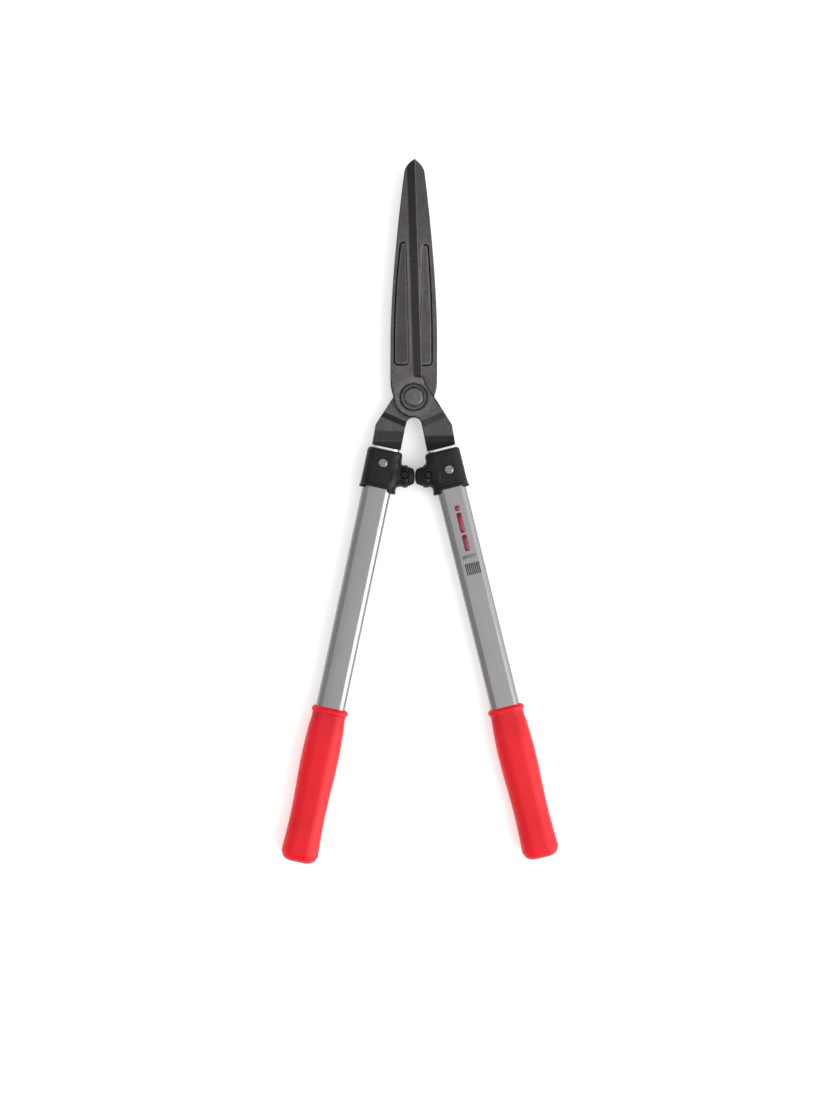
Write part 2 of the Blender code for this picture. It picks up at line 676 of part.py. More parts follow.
def handle_place(spec):
    """The frame of a handle: at its tube's upper end, with the tube along -Y."""
    turn = Matrix.Rotation(math.radians(spec["slope"] * spec["side"]), 4, "Z")
    return Matrix.Translation((*spec["end"], MID_HEIGHT)) @ turn


def buffer_place(spec):
    """The buffer's place in the handle: its Z points squarely at the other buffer."""
    turn = Matrix.Rotation(math.radians(-90 * spec["side"]), 4, "Y")
    world = Matrix.Translation((spec["boss_end"], BOSS_Y, MID_HEIGHT)) @ turn
    return handle_place(spec).inverted() @ world


def window_place(spec):
    """The upright axis of the window that holds the buffer's lug, in the handle."""
    x = spec["boss_end"] + spec["side"] * WINDOW_DEPTH
    return handle_place(spec).inverted() @ Matrix.Translation((x, BOSS_Y, MID_HEIGHT))


def make_buffer(handle):
    """The rubber buffer: a round-edged head, a stem and a lug that snaps into the window."""
    spec = HANDLES[handle]
    head = abs(spec["boss_end"] - CONTACT_X) - GAP / 2
    rim = [tuple(point) for point in
           arc((BUFFER_RADIUS - BUFFER_ROUND, head - BUFFER_ROUND), BUFFER_ROUND, 90, 0, 4)]
    stem = SOCKET_RADIUS - GAP
    buffer = turned(handle + "_buffer", [
        (0.0, head), *rim, (BUFFER_RADIUS, GAP), (stem, GAP), (stem, -SOCKET_DEPTH + GAP),
        (0.0, -SOCKET_DEPTH + GAP)], material=BLACK_RUBBER)
    buffer.matrix_basis = buffer_place(spec)
    lug = cylinder(handle + "_buffer_lug", WINDOW_RADIUS - GAP, 0.0, LUG_HEIGHT)
    lug.matrix_basis = window_place(spec)
    join(buffer, lug)
    return buffer


def make_collar_screw(side):
    """The pan head screw, with a cross slot, through collar, tube, inserts and tang."""
    under = COLLAR_THICKNESS / 2 + GAP
    top = under + SCREW_HEAD_HEIGHT
    crown = [(radius, top - drop) for radius, drop in SCREW_CROWN]
    screw = turned(side + "_collar_screw", [
        (0.0, top), *crown, (SCREW_HEAD_RADIUS, under), (SCREW_RADIUS, under),
        (SCREW_RADIUS, PAD_LOW), (0.0, PAD_LOW)], material=ZINC_STEEL)
    long, short = SCREW_SLOT_LENGTH / 2, SCREW_SLOT / 2
    slots = [box(f"{side}_slot_{name}", (-x, -y, top - SCREW_SLOT_DEPTH), (x, y, top + OVERLAP))
             for name, x, y in (("a", long, short), ("b", short, long))]
    cut(screw, *slots)
    return screw


def make_collar_nut(side):
    nut = hexagon(side + "_collar_nut", NUT_FLATS, NUT_LOW, NUT_HIGH, PARTS, ZINC_STEEL)
    cut(nut, cylinder(side + "_nut_bore", SCREW_HOLE_RADIUS, NUT_LOW - OVERLAP,
                      NUT_HIGH + OVERLAP))
    return nut


def make_tube_plug(side):
    """The plug that keeps the tube's lower edge off the soft grip."""
    clearance = 2 * (TUBE_WALL + GAP)
    stem = oval(TUBE_WIDTH - clearance, TUBE_THICKNESS - clearance,
                TUBE_CORNER - TUBE_WALL - GAP)
    flange = oval(TUBE_WIDTH, TUBE_THICKNESS, TUBE_CORNER)
    seat = TUBE_LENGTH + GAP
    rings = [ring(stem, seat - PLUG_STEM), ring(stem, seat), ring(flange, seat),
             ring(flange, seat + PLUG_FLANGE)]
    return loft(side + "_tube_plug", rings, material=GREY_PLASTIC)


def grip_ring(distance, width, thickness):
    """A cross-section of the grip, as full as its thickness allows."""
    return ring(oval(width, thickness, thickness * GRIP_FULLNESS), distance)


def grip_value(column, place):
    """The grip's width or thickness at a place, on a Catmull-Rom curve, at most its largest."""
    stations = GRIP_STATIONS
    index = max(i for i in range(len(stations) - 1) if stations[i][0] <= place)
    picks = [stations[min(max(index + step, 0), len(stations) - 1)] for step in (-1, 0, 1, 2)]
    (_, p1, p2, _) = picks
    t = (place - p1[0]) / (p2[0] - p1[0])
    v0, v1, v2, v3 = (pick[column] for pick in picks)
    value = v1 + 0.5 * t * (v2 - v0 + t * (2 * v0 - 5 * v1 + 4 * v2 - v3
                                          + t * (3 * (v1 - v2) + v3 - v0)))
    return min(value, max(station[column] for station in stations))


def make_grip(side):
    """The soft grip: a bead, a palm swell, a waist and a flared, closed, rounded end."""
    bore = oval(TUBE_WIDTH + 2 * GAP, TUBE_THICKNESS + 2 * GAP, TUBE_CORNER + GAP)
    bore_end = TUBE_LENGTH + PLUG_FLANGE + 2 * GAP
    rings = [ring(bore, bore_end), ring(bore, GRIP_START)]
    places = [station[0] for station in GRIP_STATIONS[:5]]
    first, last = places[-1], HANDLES[side]["grip_end"] - GRIP_END_ROUND
    steps = 14
    places += [first + (last - first) * step / steps for step in range(1, steps + 1)]
    for place in places:
        clamped = min(place, GRIP_STATIONS[-1][0] - MERGE)
        width, thickness = grip_value(1, clamped), grip_value(2, clamped)
        rings.append(grip_ring(place, width, thickness))
    for step in range(1, 6):
        angle = math.radians(18 * step)
        inset = 2 * GRIP_END_ROUND * (1 - math.cos(angle))
        rings.append(grip_ring(last + GRIP_END_ROUND * math.sin(angle), width - inset,
                               thickness - inset))
    return loft(side + "_grip", rings, material=RED_GRIP)


def make_handle(handle, lever):
    """All pieces of one handle, under an empty at the centre of its tube's upper end."""
    spec = HANDLES[handle]
    frame = add_empty(handle + "_handle", handle_place(spec), lever)
    for piece in (make_tube(handle), make_tube_plug(handle), make_grip(handle),
                  make_collar(handle), make_buffer(handle), *make_tang_inserts(handle)):
        place_under(piece, frame)
    along, across = spec["screw"]
    screw_place = Matrix.Translation((across * spec["side"], -along, 0.0))
    for piece in (make_collar_screw(handle), make_collar_nut(handle)):
        place_under(piece, frame, screw_place)


# ================================================================ assembly
def build():
    """The root lever is the rear blade with the left handle; the front lever turns."""
    middle = Matrix.Translation((0.0, 0.0, MID_HEIGHT))
    turned_over = middle @ Matrix.Rotation(math.pi, 4, "Y")
    rear_lever = add_empty("rear_lever", Matrix.Identity(4))
    front_lever = add_empty("front_lever", Matrix.Identity(4))
    place_under(make_blade("front_blade", "right"), front_lever, middle)
    place_under(make_blade("rear_blade", "left"), rear_lever, turned_over)
    for piece in (make_pivot_bolt(), *make_pivot_stack()):
        place_under(piece, rear_lever, middle)
    make_handle("left", rear_lever)
    make_handle("right", front_lever)


build()
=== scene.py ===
"""The looks of the hedge shears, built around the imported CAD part.

Lengths are in metres and angles in degrees, in the CAD part's own frame: +Y towards the
blade tips, +Z up, the pivot's axis at the origin. Places are read from the CAD nodes.
"""
import itertools
import math
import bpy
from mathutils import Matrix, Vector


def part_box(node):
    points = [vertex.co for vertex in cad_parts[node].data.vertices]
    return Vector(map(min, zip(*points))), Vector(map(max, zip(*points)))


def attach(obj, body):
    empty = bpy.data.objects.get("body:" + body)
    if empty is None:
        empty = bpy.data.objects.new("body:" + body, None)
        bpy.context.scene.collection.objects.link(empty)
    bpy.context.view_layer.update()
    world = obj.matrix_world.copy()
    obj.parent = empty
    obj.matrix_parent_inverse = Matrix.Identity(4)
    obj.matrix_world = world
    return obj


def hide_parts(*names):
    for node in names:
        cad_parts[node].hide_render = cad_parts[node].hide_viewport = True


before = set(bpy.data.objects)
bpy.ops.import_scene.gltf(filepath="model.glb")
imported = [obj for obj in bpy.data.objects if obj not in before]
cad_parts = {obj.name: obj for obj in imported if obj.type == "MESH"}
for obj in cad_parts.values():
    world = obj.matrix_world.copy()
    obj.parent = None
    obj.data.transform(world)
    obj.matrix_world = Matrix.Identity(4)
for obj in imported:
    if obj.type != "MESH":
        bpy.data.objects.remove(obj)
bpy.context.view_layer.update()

from types import SimpleNamespace

import bmesh
import bpy
import numpy as np
from mathutils import Matrix, Vector, noise
from mathutils.geometry import delaunay_2d_cdt, interpolate_bezier, intersect_line_line_2d

MM = 0.001

# ---- blades
PLATE = 0.0050              # thickness of the forging at the pivot
INNER = 0.00015             # height of a blade's inner face above the middle plane
TAPER_START = 0.030         # where the blade starts to thin towards its tip
TIP_THICKNESS = 0.0028
SPINE_X = -0.0226
SPINE_LOW = 0.018
SPINE_HIGH = 0.0555
TIP_LOW = Vector((-0.0100, 0.2165))
TIP_LOW_GUIDE = Vector((-0.0091, 0.2236))
TIP_HIGH_GUIDE = Vector((-0.0032, 0.2289))
LEAN = 0.0035               # sideways slope of the closed blades, as seen from the front
BOSS_RADIUS = 0.0195
BOSS_START = 186.0
EDGE_LOW = Vector((0.0083, 0.0200))
EDGE_TOP_X = 0.0010
BEVEL_WIDTH = 0.0088
EDGE_THICKNESS = 0.0008
HONED_WIDTH = 0.0011        # the bright strip along the cutting edge
HONED_RISE = 0.00025
CROTCH_RADIUS = 0.0076
CROTCH_X = 0.0001
CROTCH_START = 88.0
TANG_INNER_ANGLE = 11.5
TANG_OUTER_ANGLE = 9.7
NECK_LOW = Vector((0.0185, 0.0025))
SHOULDER = Vector((0.0369, -0.0262))
SHOULDER_RADIUS = 0.0070
TONGUE_WIDTH = 0.0242
TONGUE_LENGTH = 0.0580
TONGUE_CORNER = 0.0030
BOLT_HOLE_RADIUS = 0.00635
SCREW_HOLE_RADIUS = 0.0027
BACK_GUIDE = Vector((-0.0221, 0.110))
BACK_TIP_REACH = 0.041
HIP_REACH_HIGH = 0.012
HIP_REACH_LOW = 0.006
NECK_REACH_LOW = 0.0055
NECK_REACH_HIGH = Vector((0.0012, -0.0070))
NECK_HIGH = Vector((0.0101, 0.0187))

# the long panel sunk into both faces of a blade
PANEL_LEFTS = {"right": -0.0197, "left": -0.0183}
PANEL_RIGHT = -0.0038
PANEL_BOTTOM = 0.0304
PANEL_TOPS = {"right": Vector((-0.0106, 0.1466)), "left": Vector((-0.0106, 0.1446))}
PANEL_TOP_RADIUS = 0.0036
PANEL_CORNER = 0.0050
PANEL_SIDE_LOW = 0.050
PANEL_SIDE_GUIDE = Vector((0.0024, 0.122))
PANEL_SIDE_HIGH = 0.090
PANEL_DEPTH = 0.00045
GROOVE_DEPTH = 0.00075      # the groove along the panel's back wall, below the panel
PANEL_RIDGE = 2.1           # millimetres from the panel's outline to the ridge beside the groove

JOGGLE_CENTRE = Vector((0.01875, -0.02125))
JOGGLE_ANGLE = 24.3
JOGGLE_WIDTH = 0.0052
JOGGLE_BLEND = 0.09
EDGE_ROUND = 0.0007
INNER_EDGE_ROUND = 0.00025
UNEVEN_HEIGHT = 0.035 * MM
UNEVEN_LOW = -0.047         # below this the tang is in its collar, and smooth
SEAT_RADIUS = 0.0143        # a shallow round seat about the pivot
SEAT_DEPTH = 0.0001

# rows of points that follow a blade's features, as distances in millimetres
RIM_ROWS = (0.05, 0.16, 0.34, 0.6)
PANEL_ROWS = (-0.12, 0.0, 0.12, 0.24, 0.36, 0.5, 0.75, 1.05, 1.3, 1.55, 1.8, 2.1)
EDGE_ROWS = (0.55, 0.95, 1.2, 1.5, 6.7, 7.1, 7.4, 7.7, 8.1)
HEEL_ROWS = (-0.4, 0.0, 0.3, 0.7, 1.1)
GRID_PITCH = 1.25 * MM
ROW_CLEARANCE = 0.9 * MM

# how light a blade is all over, and its painted shade: how much darker in the panel and the
# joggle, how light the tang's painted dark end stays, and the height in millimetres where it starts
TONES = {"right": (1.08, 0.36, 0.72, 0.27, -37.6), "left": (1.05, 0.12, 0.60, 0.46, -33.0)}

# ---- pivot bolt
SHANK_RADIUS = 0.0060
FLANGE_RADIUS = 0.0130
FLANGE_THICKNESS = 0.0017
BOLT_FLATS = 0.0174
BOLT_TURN = 34.0
BOLT_CORNERS = 1.085        # how far the hexagon's corners reach, in half flats
BOLT_STEPS = 144
STACK_BORE = 0.0063         # bore of the washers and of the nut
HEXAGON_CIRCLE = 0.92       # the flat circle on a hexagon's ends, in half flats
NUT_CORNERS = 1.135
PIVOT_NUT_FLATS = 0.0180
PIVOT_NUT_POCKET = (0.0081, 0.0017)   # radius and depth of the nylon ring's pocket
NUT_STEPS = 96

# ---- handles
INSERT_CENTRE = 0.0295      # the tang inserts' middle, from the tube's upper end
TUBE_WIDTH = 0.0280
TUBE_THICKNESS = 0.0170
TUBE_CORNER = 0.0063
TUBE_WALL = 0.0015
TUBE_BREAK = 0.0003         # the broken edges at the tube's ends
TUBE_HIGHLIGHT_LENGTH = 0.0019      # painted highlight along the tube's upper end, above the collar
GAP = 0.0003

COLLAR_START = 0.0019
COLLAR_END = 0.0396
COLLAR_OUTER_WALL = 0.0027
COLLAR_INNER_WALL = 0.0036
COLLAR_THICKNESS = 0.0214
COLLAR_CORNER = 0.0086
BOSS_BODY_RADIUS = 0.0109
SOCKET_RADIUS = 0.0052
SOCKET_DEPTH = 0.0080
BUFFER_RADIUS = 0.0082
WINDOW_RADIUS = 0.0038
LUG_RADIUS = 0.0031
LUG_TOP = 0.0104
LUG_SHIFT = 0.0012          # the lugs sit above the boss's axis
LUG_PLACES = {"right": 0.0054, "left": 0.0038}   # from the boss's end to the lug
BUFFER_NECK = 0.0022        # the plain part of the buffer's head, before its dome
PAD_RADIUS = 0.0066
# the lower corners of a collar: side, reach, and where and how fast each one starts
EARS = ((-1, 0.0031, 0.0085, 0.0055), (1, 0.0019, 0.0110, 0.0045))
# beads round a collar: height, place before its end, half width, edge and blend
COLLAR_BEADS = ((0.0008, 0.0014, 0.0014, 0.0010, 0.0007),
                (0.00035, 0.0047, 0.0004, 0.0006, 0.0006))
COLLAR_GRID = 0.00055
BUFFER_GRID = 0.00045
SCREW_HEAD_RADIUS = 0.00465
SCREW_TURN = 28.0
SCREW_STEPS = 96
NUT_FLATS = 0.0080

# distance along the tube, width and thickness of the grip's outside
GRIP_STATIONS = (
    (0.2571, 0.0310, 0.0210),
    (0.2578, 0.0331, 0.0228),
    (0.2589, 0.0349, 0.0245),
    (0.2602, 0.0355, 0.0250),
    (0.2615, 0.0350, 0.0245),
    (0.2625, 0.0337, 0.0234),
    (0.2634, 0.0326, 0.0226),
    (0.2670, 0.0325, 0.0226),
    (0.2800, 0.0346, 0.0256),
    (0.3000, 0.0362, 0.0280),
    (0.3200, 0.0358, 0.0276),
    (0.3430, 0.0342, 0.0260),
    (0.3650, 0.0335, 0.0252),
    (0.3840, 0.0345, 0.0266),
    (0.4000, 0.0360, 0.0280),
)
GRIP_ENDS = {"left": 0.4090, "right": 0.4070}
GRIP_END_ROUND = 0.0090
GRIP_FULLNESS = 0.46        # corner radius of the grip's section, in thicknesses
GRIP_STEPS = 22
GRIP_SEAM = 0.00012
GRIP_BEAD_END = 0.2670
GRIP_STEP = 0.0009          # the moulding step round the grip's end
GRIP_WALL_END = 0.0036      # from the tube's end to the bottom of the grip's bore

# ---- picture
VIEW_CENTRE = Vector((0.0060, -0.1570, 0.0))
CAMERA_DISTANCE = 2.4
FRAME_HEIGHT = 1.0819
# name, place from the view's centre, lean, size, radiance, and whether surfaces mirror it
LIGHTS = (
    ("overhead", (0.245, 0.0, 2.6), 0.0, (1.41, 5.2), 1.37, True),
    ("key", (2.15, -1.50, 1.45), 56.0, (3.4, 2.9), 5.2, True),
    ("key_side", (2.15, 1.15, 1.45), 56.0, (3.4, 2.4), 1.9, True),
    ("left_fill", (-2.0, 0.0, 1.67), -50.0, (3.8, 4.4), 0.64, True),
    ("left_soft", (-2.0, 0.0, 1.67), -50.0, (3.0, 3.4), 3.2, False),
)


# ---- places from the CAD part
def centre(node):
    low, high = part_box(node)
    return (low + high) / 2


MID_HEIGHT = centre("left_tube").z
TIP_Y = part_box("front_blade")[1].y
EDGE_HIGH = Vector((EDGE_TOP_X, TIP_Y))


def handle_facts(name):
    """Where a handle is: its tube's upper end, slope and length, and what sits on it."""
    side = 1 if name == "right" else -1
    insert = centre(name + "_tang_insert_front").xy
    middle = centre(name + "_tube").xy
    way = (middle - insert).normalized()
    end = insert - way * INSERT_CENTRE
    slope = math.degrees(math.atan2(side * way.x, -way.y))
    place = Matrix.Translation((*end, MID_HEIGHT)) @ Matrix.Rotation(
        math.radians(slope * side), 4, "Z")
    low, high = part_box(name + "_buffer")
    boss_end = high.x - SOCKET_DEPTH + GAP if side > 0 else low.x + SOCKET_DEPTH - GAP
    contact = low.x if side > 0 else high.x
    return SimpleNamespace(
        name=name, side=side, end=end, slope=slope, place=place,
        length=2 * (middle - end).length, screw=centre(name + "_collar_screw").xy,
        boss_end=boss_end, boss_y=(low.y + high.y) / 2, head=abs(boss_end - contact),
        body="front_lever" if side > 0 else "rear_lever", lug=LUG_PLACES[name])


HANDLES = {name: handle_facts(name) for name in ("left", "right")}


# ---- small tools
def smooth(value):
    """0 below 0, 1 above 1, and a smooth rise between."""
    value = np.clip(value, 0.0, 1.0)
    return value * value * (3 - 2 * value)


def rise(value, start, width):
    """0 up to a start, 1 from a width past it, and a smooth rise between."""
    return smooth((value - start) / width)


def bell(value, middle, width):
    """1 at a middle, falling towards 0 within about a width to each side."""
    return np.exp(-((value - middle) / width) ** 2)


def smooth_min(a, b, width):
    """The smaller of two fields, blended over a width where they cross."""
    share = np.clip(0.5 + 0.5 * (b - a) / width, 0.0, 1.0)
    return b + (a - b) * share - width * share * (1 - share)


def smooth_max(a, b, width):
    return -smooth_min(-a, -b, width)


def circle_point(centre_point, radius, angle):
    return Vector((centre_point[0] + radius * math.cos(math.radians(angle)),
                   centre_point[1] + radius * math.sin(math.radians(angle))))


def heading(angle):
    """The unit vector at an angle from +X."""
    return circle_point((0, 0), 1.0, angle)


def rows_of(points):
    """Vectors as the rows of an array."""
    return np.array([point[:] for point in points])


def arc(centre_point, radius, start, end, steps):
    return [circle_point(centre_point, radius, start + (end - start) * step / steps)
            for step in range(steps + 1)]


def bend(start, start_handle, end_handle, end, steps):
    points = interpolate_bezier(start.to_3d(), start_handle.to_3d(),
                                end_handle.to_3d(), end.to_3d(), steps + 1)
    return [point.to_2d() for point in points]


def rounded_corner(before, corner, after, radius, steps):
    """Points on the arc that rounds the corner between two straight edges."""
    back = (before - corner).normalized()
    ahead = (after - corner).normalized()
    half = back.angle(ahead) / 2
    middle = corner + (back + ahead).normalized() * radius / math.sin(half)
    start = corner + back * radius / math.tan(half) - middle
    end = corner + ahead * radius / math.tan(half) - middle
    turn = start.angle_signed(end)
    return [middle + Matrix.Rotation(-turn * step / steps, 2) @ start
            for step in range(steps + 1)]


def meeting_point(point, direction, other_point, other_direction):
    return intersect_line_line_2d(point - direction, point + direction,
                                  other_point - other_direction, other_point + other_direction)


def denser(loop, spacing):
    """A closed loop with extra points, so that no side is longer than spacing."""
    points = []
    for here, after in zip(loop, loop[1:] + loop[:1]):
        count = max(1, math.ceil((after - here).length / spacing))
        points += [here.lerp(after, step / count) for step in range(count)]
    return rows_of(points)


def loop_distance(points, loop):
    """Distance from each point to a closed loop, positive inside it."""
    start, end = loop, np.roll(loop, -1, axis=0)
    side = end - start
    length = (side ** 2).sum(1)
    nearest = np.empty(len(points))
    inside = np.empty(len(points), bool)
    for first in range(0, len(points), 2000):
        part = points[first:first + 2000, None, :]
        offset = part - start
        share = np.clip((offset * side).sum(2) / length, 0.0, 1.0)
        gap = offset - share[..., None] * side
        nearest[first:first + 2000] = np.sqrt((gap ** 2).sum(2).min(1))
        y = part[..., 1]
        crosses = (start[:, 1] > y) != (end[:, 1] > y)
        with np.errstate(divide="ignore", invalid="ignore"):
            x = start[:, 0] + (y - start[:, 1]) / side[:, 1] * side[:, 0]
        inside[first:first + 2000] = (crosses & (part[..., 0] < x)).sum(1) % 2 == 1
    return np.where(inside, nearest, -nearest)


def offset_rows(loop, distances):
    """Copies of a closed loop moved inwards, each by one of the distances."""
    tangent = np.roll(loop, -1, axis=0) - np.roll(loop, 1, axis=0)
    normal = np.column_stack((-tangent[:, 1], tangent[:, 0]))
    normal /= np.linalg.norm(normal, axis=1)[:, None]
    following = np.roll(loop, -1, axis=0)
    area = (loop[:, 0] * following[:, 1] - loop[:, 1] * following[:, 0]).sum()
    return [loop + normal * distance * math.copysign(1.0, area) for distance in distances]


def make_piece(name, vertices, faces, place=Matrix.Identity(4), sharp=180.0):
    """A closed, smooth shaded mesh object; edges sharper than an angle stay crisp."""
    mesh = bpy.data.meshes.new(name)
    mesh.from_pydata(np.asarray(vertices).tolist(), [], [list(face) for face in faces])
    shape = bmesh.new()
    shape.from_mesh(mesh)
    bmesh.ops.remove_doubles(shape, verts=shape.verts, dist=MM / 500)
    bmesh.ops.recalc_face_normals(shape, faces=shape.faces)
    shape.to_mesh(mesh)
    shape.free()
    mesh.shade_smooth()
    if sharp < 180.0:
        mesh.set_sharp_from_angle(angle=math.radians(sharp))
    obj = bpy.data.objects.new(name, mesh)
    bpy.context.scene.collection.objects.link(obj)
    obj.matrix_world = place
    return obj


def skin(name, rings, closed=False, place=Matrix.Identity(4), sharp=180.0):
    """A skin through rings of equal counts, with a fan over each end unless closed."""
    rings = np.asarray(rings, float)
    rows, count = rings.shape[:2]
    vertices = rings.reshape(-1, 3).tolist()
    here = np.arange(count)
    after = np.roll(here, -1)
    faces = []
    for row in range(rows if closed else rows - 1):
        near, far = row * count, (row + 1) % rows * count
        faces += np.column_stack((near + here, near + after, far + after, far + here)).tolist()
    if not closed:
        for first, ring in ((0, rings[0]), ((rows - 1) * count, rings[-1])):
            vertices.append(ring.mean(0).tolist())
            faces += [(first + a, first + b, len(vertices) - 1) for a, b in zip(here, after)]
    return make_piece(name, vertices, faces, place, sharp)


def around(count):
    return np.arange(count) * 2 * math.pi / count


def polar_ring(radius, height, count):
    """A ring about Z; its radius and its height may be one number or change around it."""
    angle = around(count)
    return np.column_stack((radius * np.cos(angle), radius * np.sin(angle),
                            np.broadcast_to(height, count)))


def turned_rings(profile, count):
    """Rings of a turned shape about Z, from (radius, height) pairs."""
    return [polar_ring(radius, height, count) for radius, height in profile]


def oval(width, thickness, corner, steps=12):
    """A rectangle with round corners in the X-Z plane, as an array of (x, z)."""
    points = []
    for quarter, (sign_x, sign_z) in enumerate(((1, 1), (-1, 1), (-1, -1), (1, -1))):
        middle = (sign_x * (width / 2 - corner), sign_z * (thickness / 2 - corner))
        points += arc(middle, corner, 90 * quarter, 90 * quarter + 90, steps)
    return rows_of(points)


def tube_ring(section, distance):
    return np.column_stack((section[:, 0], np.full(len(section), -distance), section[:, 1]))


def paint(mesh, name, values):
    """Store a number at each vertex of a mesh, for its material to read."""
    layer = mesh.attributes.new(name, "FLOAT", "POINT")
    layer.data.foreach_set("value", values.astype(np.float32))


def dress(obj, look):
    obj.data.materials.clear()
    obj.data.materials.append(look)


def finish_piece(obj, body, slot):
    """Give a piece its material and its body; it stands for the CAD node it is named after."""
    dress(obj, LOOKS[slot])
    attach(obj, body)
    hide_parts(obj.name.removesuffix("_look"))


# ---- materials
class Look:
    """A Principled material with short ways to wire procedural detail into it."""

    def __init__(self, name, roughness, metallic=0.0, specular=0.5):
        self.material = bpy.data.materials.new(name)
        self.material.use_nodes = True
        self.tree = self.material.node_tree
        self.set({"Roughness": roughness, "Metallic": metallic, "Specular IOR Level": specular})
        self.coordinates = self.add("ShaderNodeTexCoord", "Object")

    def set(self, inputs, node=None):
        """Give inputs of a node, or of the shader, numbers or the outputs of other nodes."""
        node = node or self.tree.nodes["Principled BSDF"]
        for key, value in inputs.items():
            if isinstance(value, bpy.types.NodeSocket):
                self.tree.links.new(value, node.inputs[key])
            else:
                node.inputs[key].default_value = value

    def add(self, kind, output, inputs={}, **settings):
        """Add a node with its inputs and settings, and return one of its outputs."""
        node = self.tree.nodes.new(kind)
        for name, value in settings.items():
            setattr(node, name, value)
        self.set(inputs, node)
        return node.outputs[output]

    def stretched(self, scale):
        """The piece's own coordinates, scaled unevenly."""
        return self.add("ShaderNodeMapping", "Vector",
                        {"Scale": scale, "Vector": self.coordinates})

    def noise(self, size, detail, stretch=(1.0, 1.0, 1.0)):
        """Noise from 0 to 1 with features of about a size, in metres."""
        return self.add("ShaderNodeTexNoise", "Fac", {
            "Scale": 1.0 / size, "Detail": detail, "Vector": self.stretched(stretch)})

    def cells(self, size, stretch):
        """Distance to the nearest of many scattered points, from 0 upwards."""
        return self.add("ShaderNodeTexVoronoi", "Distance", {
            "Scale": 1.0 / size, "Vector": self.stretched(stretch)})

    def remap(self, value, low, high, to_low=0.0, to_high=1.0):
        return self.add("ShaderNodeMapRange", "Result", {
            "Value": value, "From Min": low, "From Max": high, "To Min": to_low,
            "To Max": to_high})

    def attribute(self, name):
        return self.add("ShaderNodeAttribute", "Fac", attribute_name=name)

    def math(self, operation, first, second):
        return self.add("ShaderNodeMath", "Value", {0: first, 1: second}, operation=operation)

    def mix(self, factor, first, second):
        """A colour between two colours or colour outputs, by a factor output."""
        first, second = ((*colour, 1.0) if isinstance(colour, tuple) else colour
                         for colour in (first, second))
        return self.add("ShaderNodeMix", 2, {"Factor": factor, 6: first, 7: second},
                        data_type="RGBA")

    def scaled(self, colour, factor):
        """A colour output made lighter or darker by a factor output."""
        return self.add("ShaderNodeVectorMath", "Vector", {0: colour, "Scale": factor},
                        operation="SCALE")

    def two_tone(self, pattern, low, high, dark, light):
        """A colour that goes from dark to light as a pattern goes from low to high."""
        return self.mix(self.remap(pattern, low, high), dark, light)

    def worn(self, pattern, share, colour, mark):
        """A colour with a mark's colour laid over it where a pattern is, in a share."""
        return self.mix(self.math("MULTIPLY", pattern, share), colour, mark)

    def colour(self, output):
        self.set({"Base Color": output})

    def roughness(self, pattern, low, high, smoothest, roughest):
        self.set({"Roughness": self.remap(pattern, low, high, smoothest, roughest)})

    def bump(self, *layers):
        """Bump from (height output, depth in metres) pairs."""
        normal = {}
        for height, depth in layers:
            normal = {"Normal": self.add("ShaderNodeBump", "Normal", {
                "Strength": 1.0, "Distance": depth, "Height": height, **normal})}
        self.set(normal)


def make_blade_look():
    """Hardened steel with dark forge scale, worn along its edges and honed at the edge."""
    look = Look("blade_steel", 0.42, metallic=0.85)
    cloud = look.noise(0.011, 5.0)
    mottle = look.noise(0.0022, 4.0)
    streaks = look.noise(0.0009, 2.0, (1.0, 0.05, 1.0))
    base = look.two_tone(cloud, 0.35, 0.68, (0.068, 0.063, 0.065), (0.090, 0.084, 0.086))
    base = look.mix(look.remap(mottle, 0.30, 0.70, 0.0, 0.58), base, (0.041, 0.037, 0.039))
    base = look.mix(look.remap(streaks, 0.45, 0.75, 0.0, 0.30), base, (0.125, 0.118, 0.120))
    base = look.worn(look.attribute("bevel"), 0.5, base, (0.088, 0.072, 0.078))
    # scaled by the painted shade and painted highlights stored on the blade's vertices
    base = look.scaled(base, look.attribute("tone_and_shading"))
    chips = look.remap(look.noise(0.0012, 3.0), 0.42, 0.62)
    wear = look.math("MULTIPLY", look.attribute("wear"), chips)
    base = look.worn(wear, 0.6, base, (0.14, 0.135, 0.135))
    patches = look.remap(look.noise(0.004, 2.0), 0.3, 0.6, 0.45, 1.0)
    look.colour(look.worn(look.attribute("honed"), patches, base, (0.070, 0.067, 0.067)))
    look.roughness(look.math("ADD", mottle, streaks), 0.7, 1.3, 0.34, 0.50)
    look.bump((look.noise(0.0011, 4.0), 0.00011), (streaks, 0.00004), (cloud, 0.00034))
    return look.material


def make_dark_steel_look():
    """Blackened steel of the pivot bolt."""
    look = Look("dark_steel", 0.38, metallic=0.85)
    cloud = look.noise(0.003, 4.0)
    base = look.two_tone(cloud, 0.35, 0.65, (0.078, 0.073, 0.075), (0.108, 0.101, 0.103))
    # scaled by the painted shade stored on the bolt's vertices
    look.colour(look.scaled(base, look.attribute("tone_and_shading")))
    look.roughness(cloud, 0.3, 0.7, 0.32, 0.46)
    look.bump((look.noise(0.0007, 3.0), 0.00005), (look.noise(0.004, 2.0), 0.0002))
    return look.material


def make_zinc_look():
    """Zinc-plated steel of the screws, nuts and washers."""
    look = Look("zinc_steel", 0.35, metallic=1.0)
    cloud = look.noise(0.0015, 3.0)
    look.colour(look.two_tone(cloud, 0.35, 0.65, (0.180, 0.189, 0.189), (0.250, 0.262, 0.262)))
    look.roughness(cloud, 0.3, 0.7, 0.28, 0.42)
    look.bump((look.noise(0.0005, 2.0), 0.00003))
    return look.material


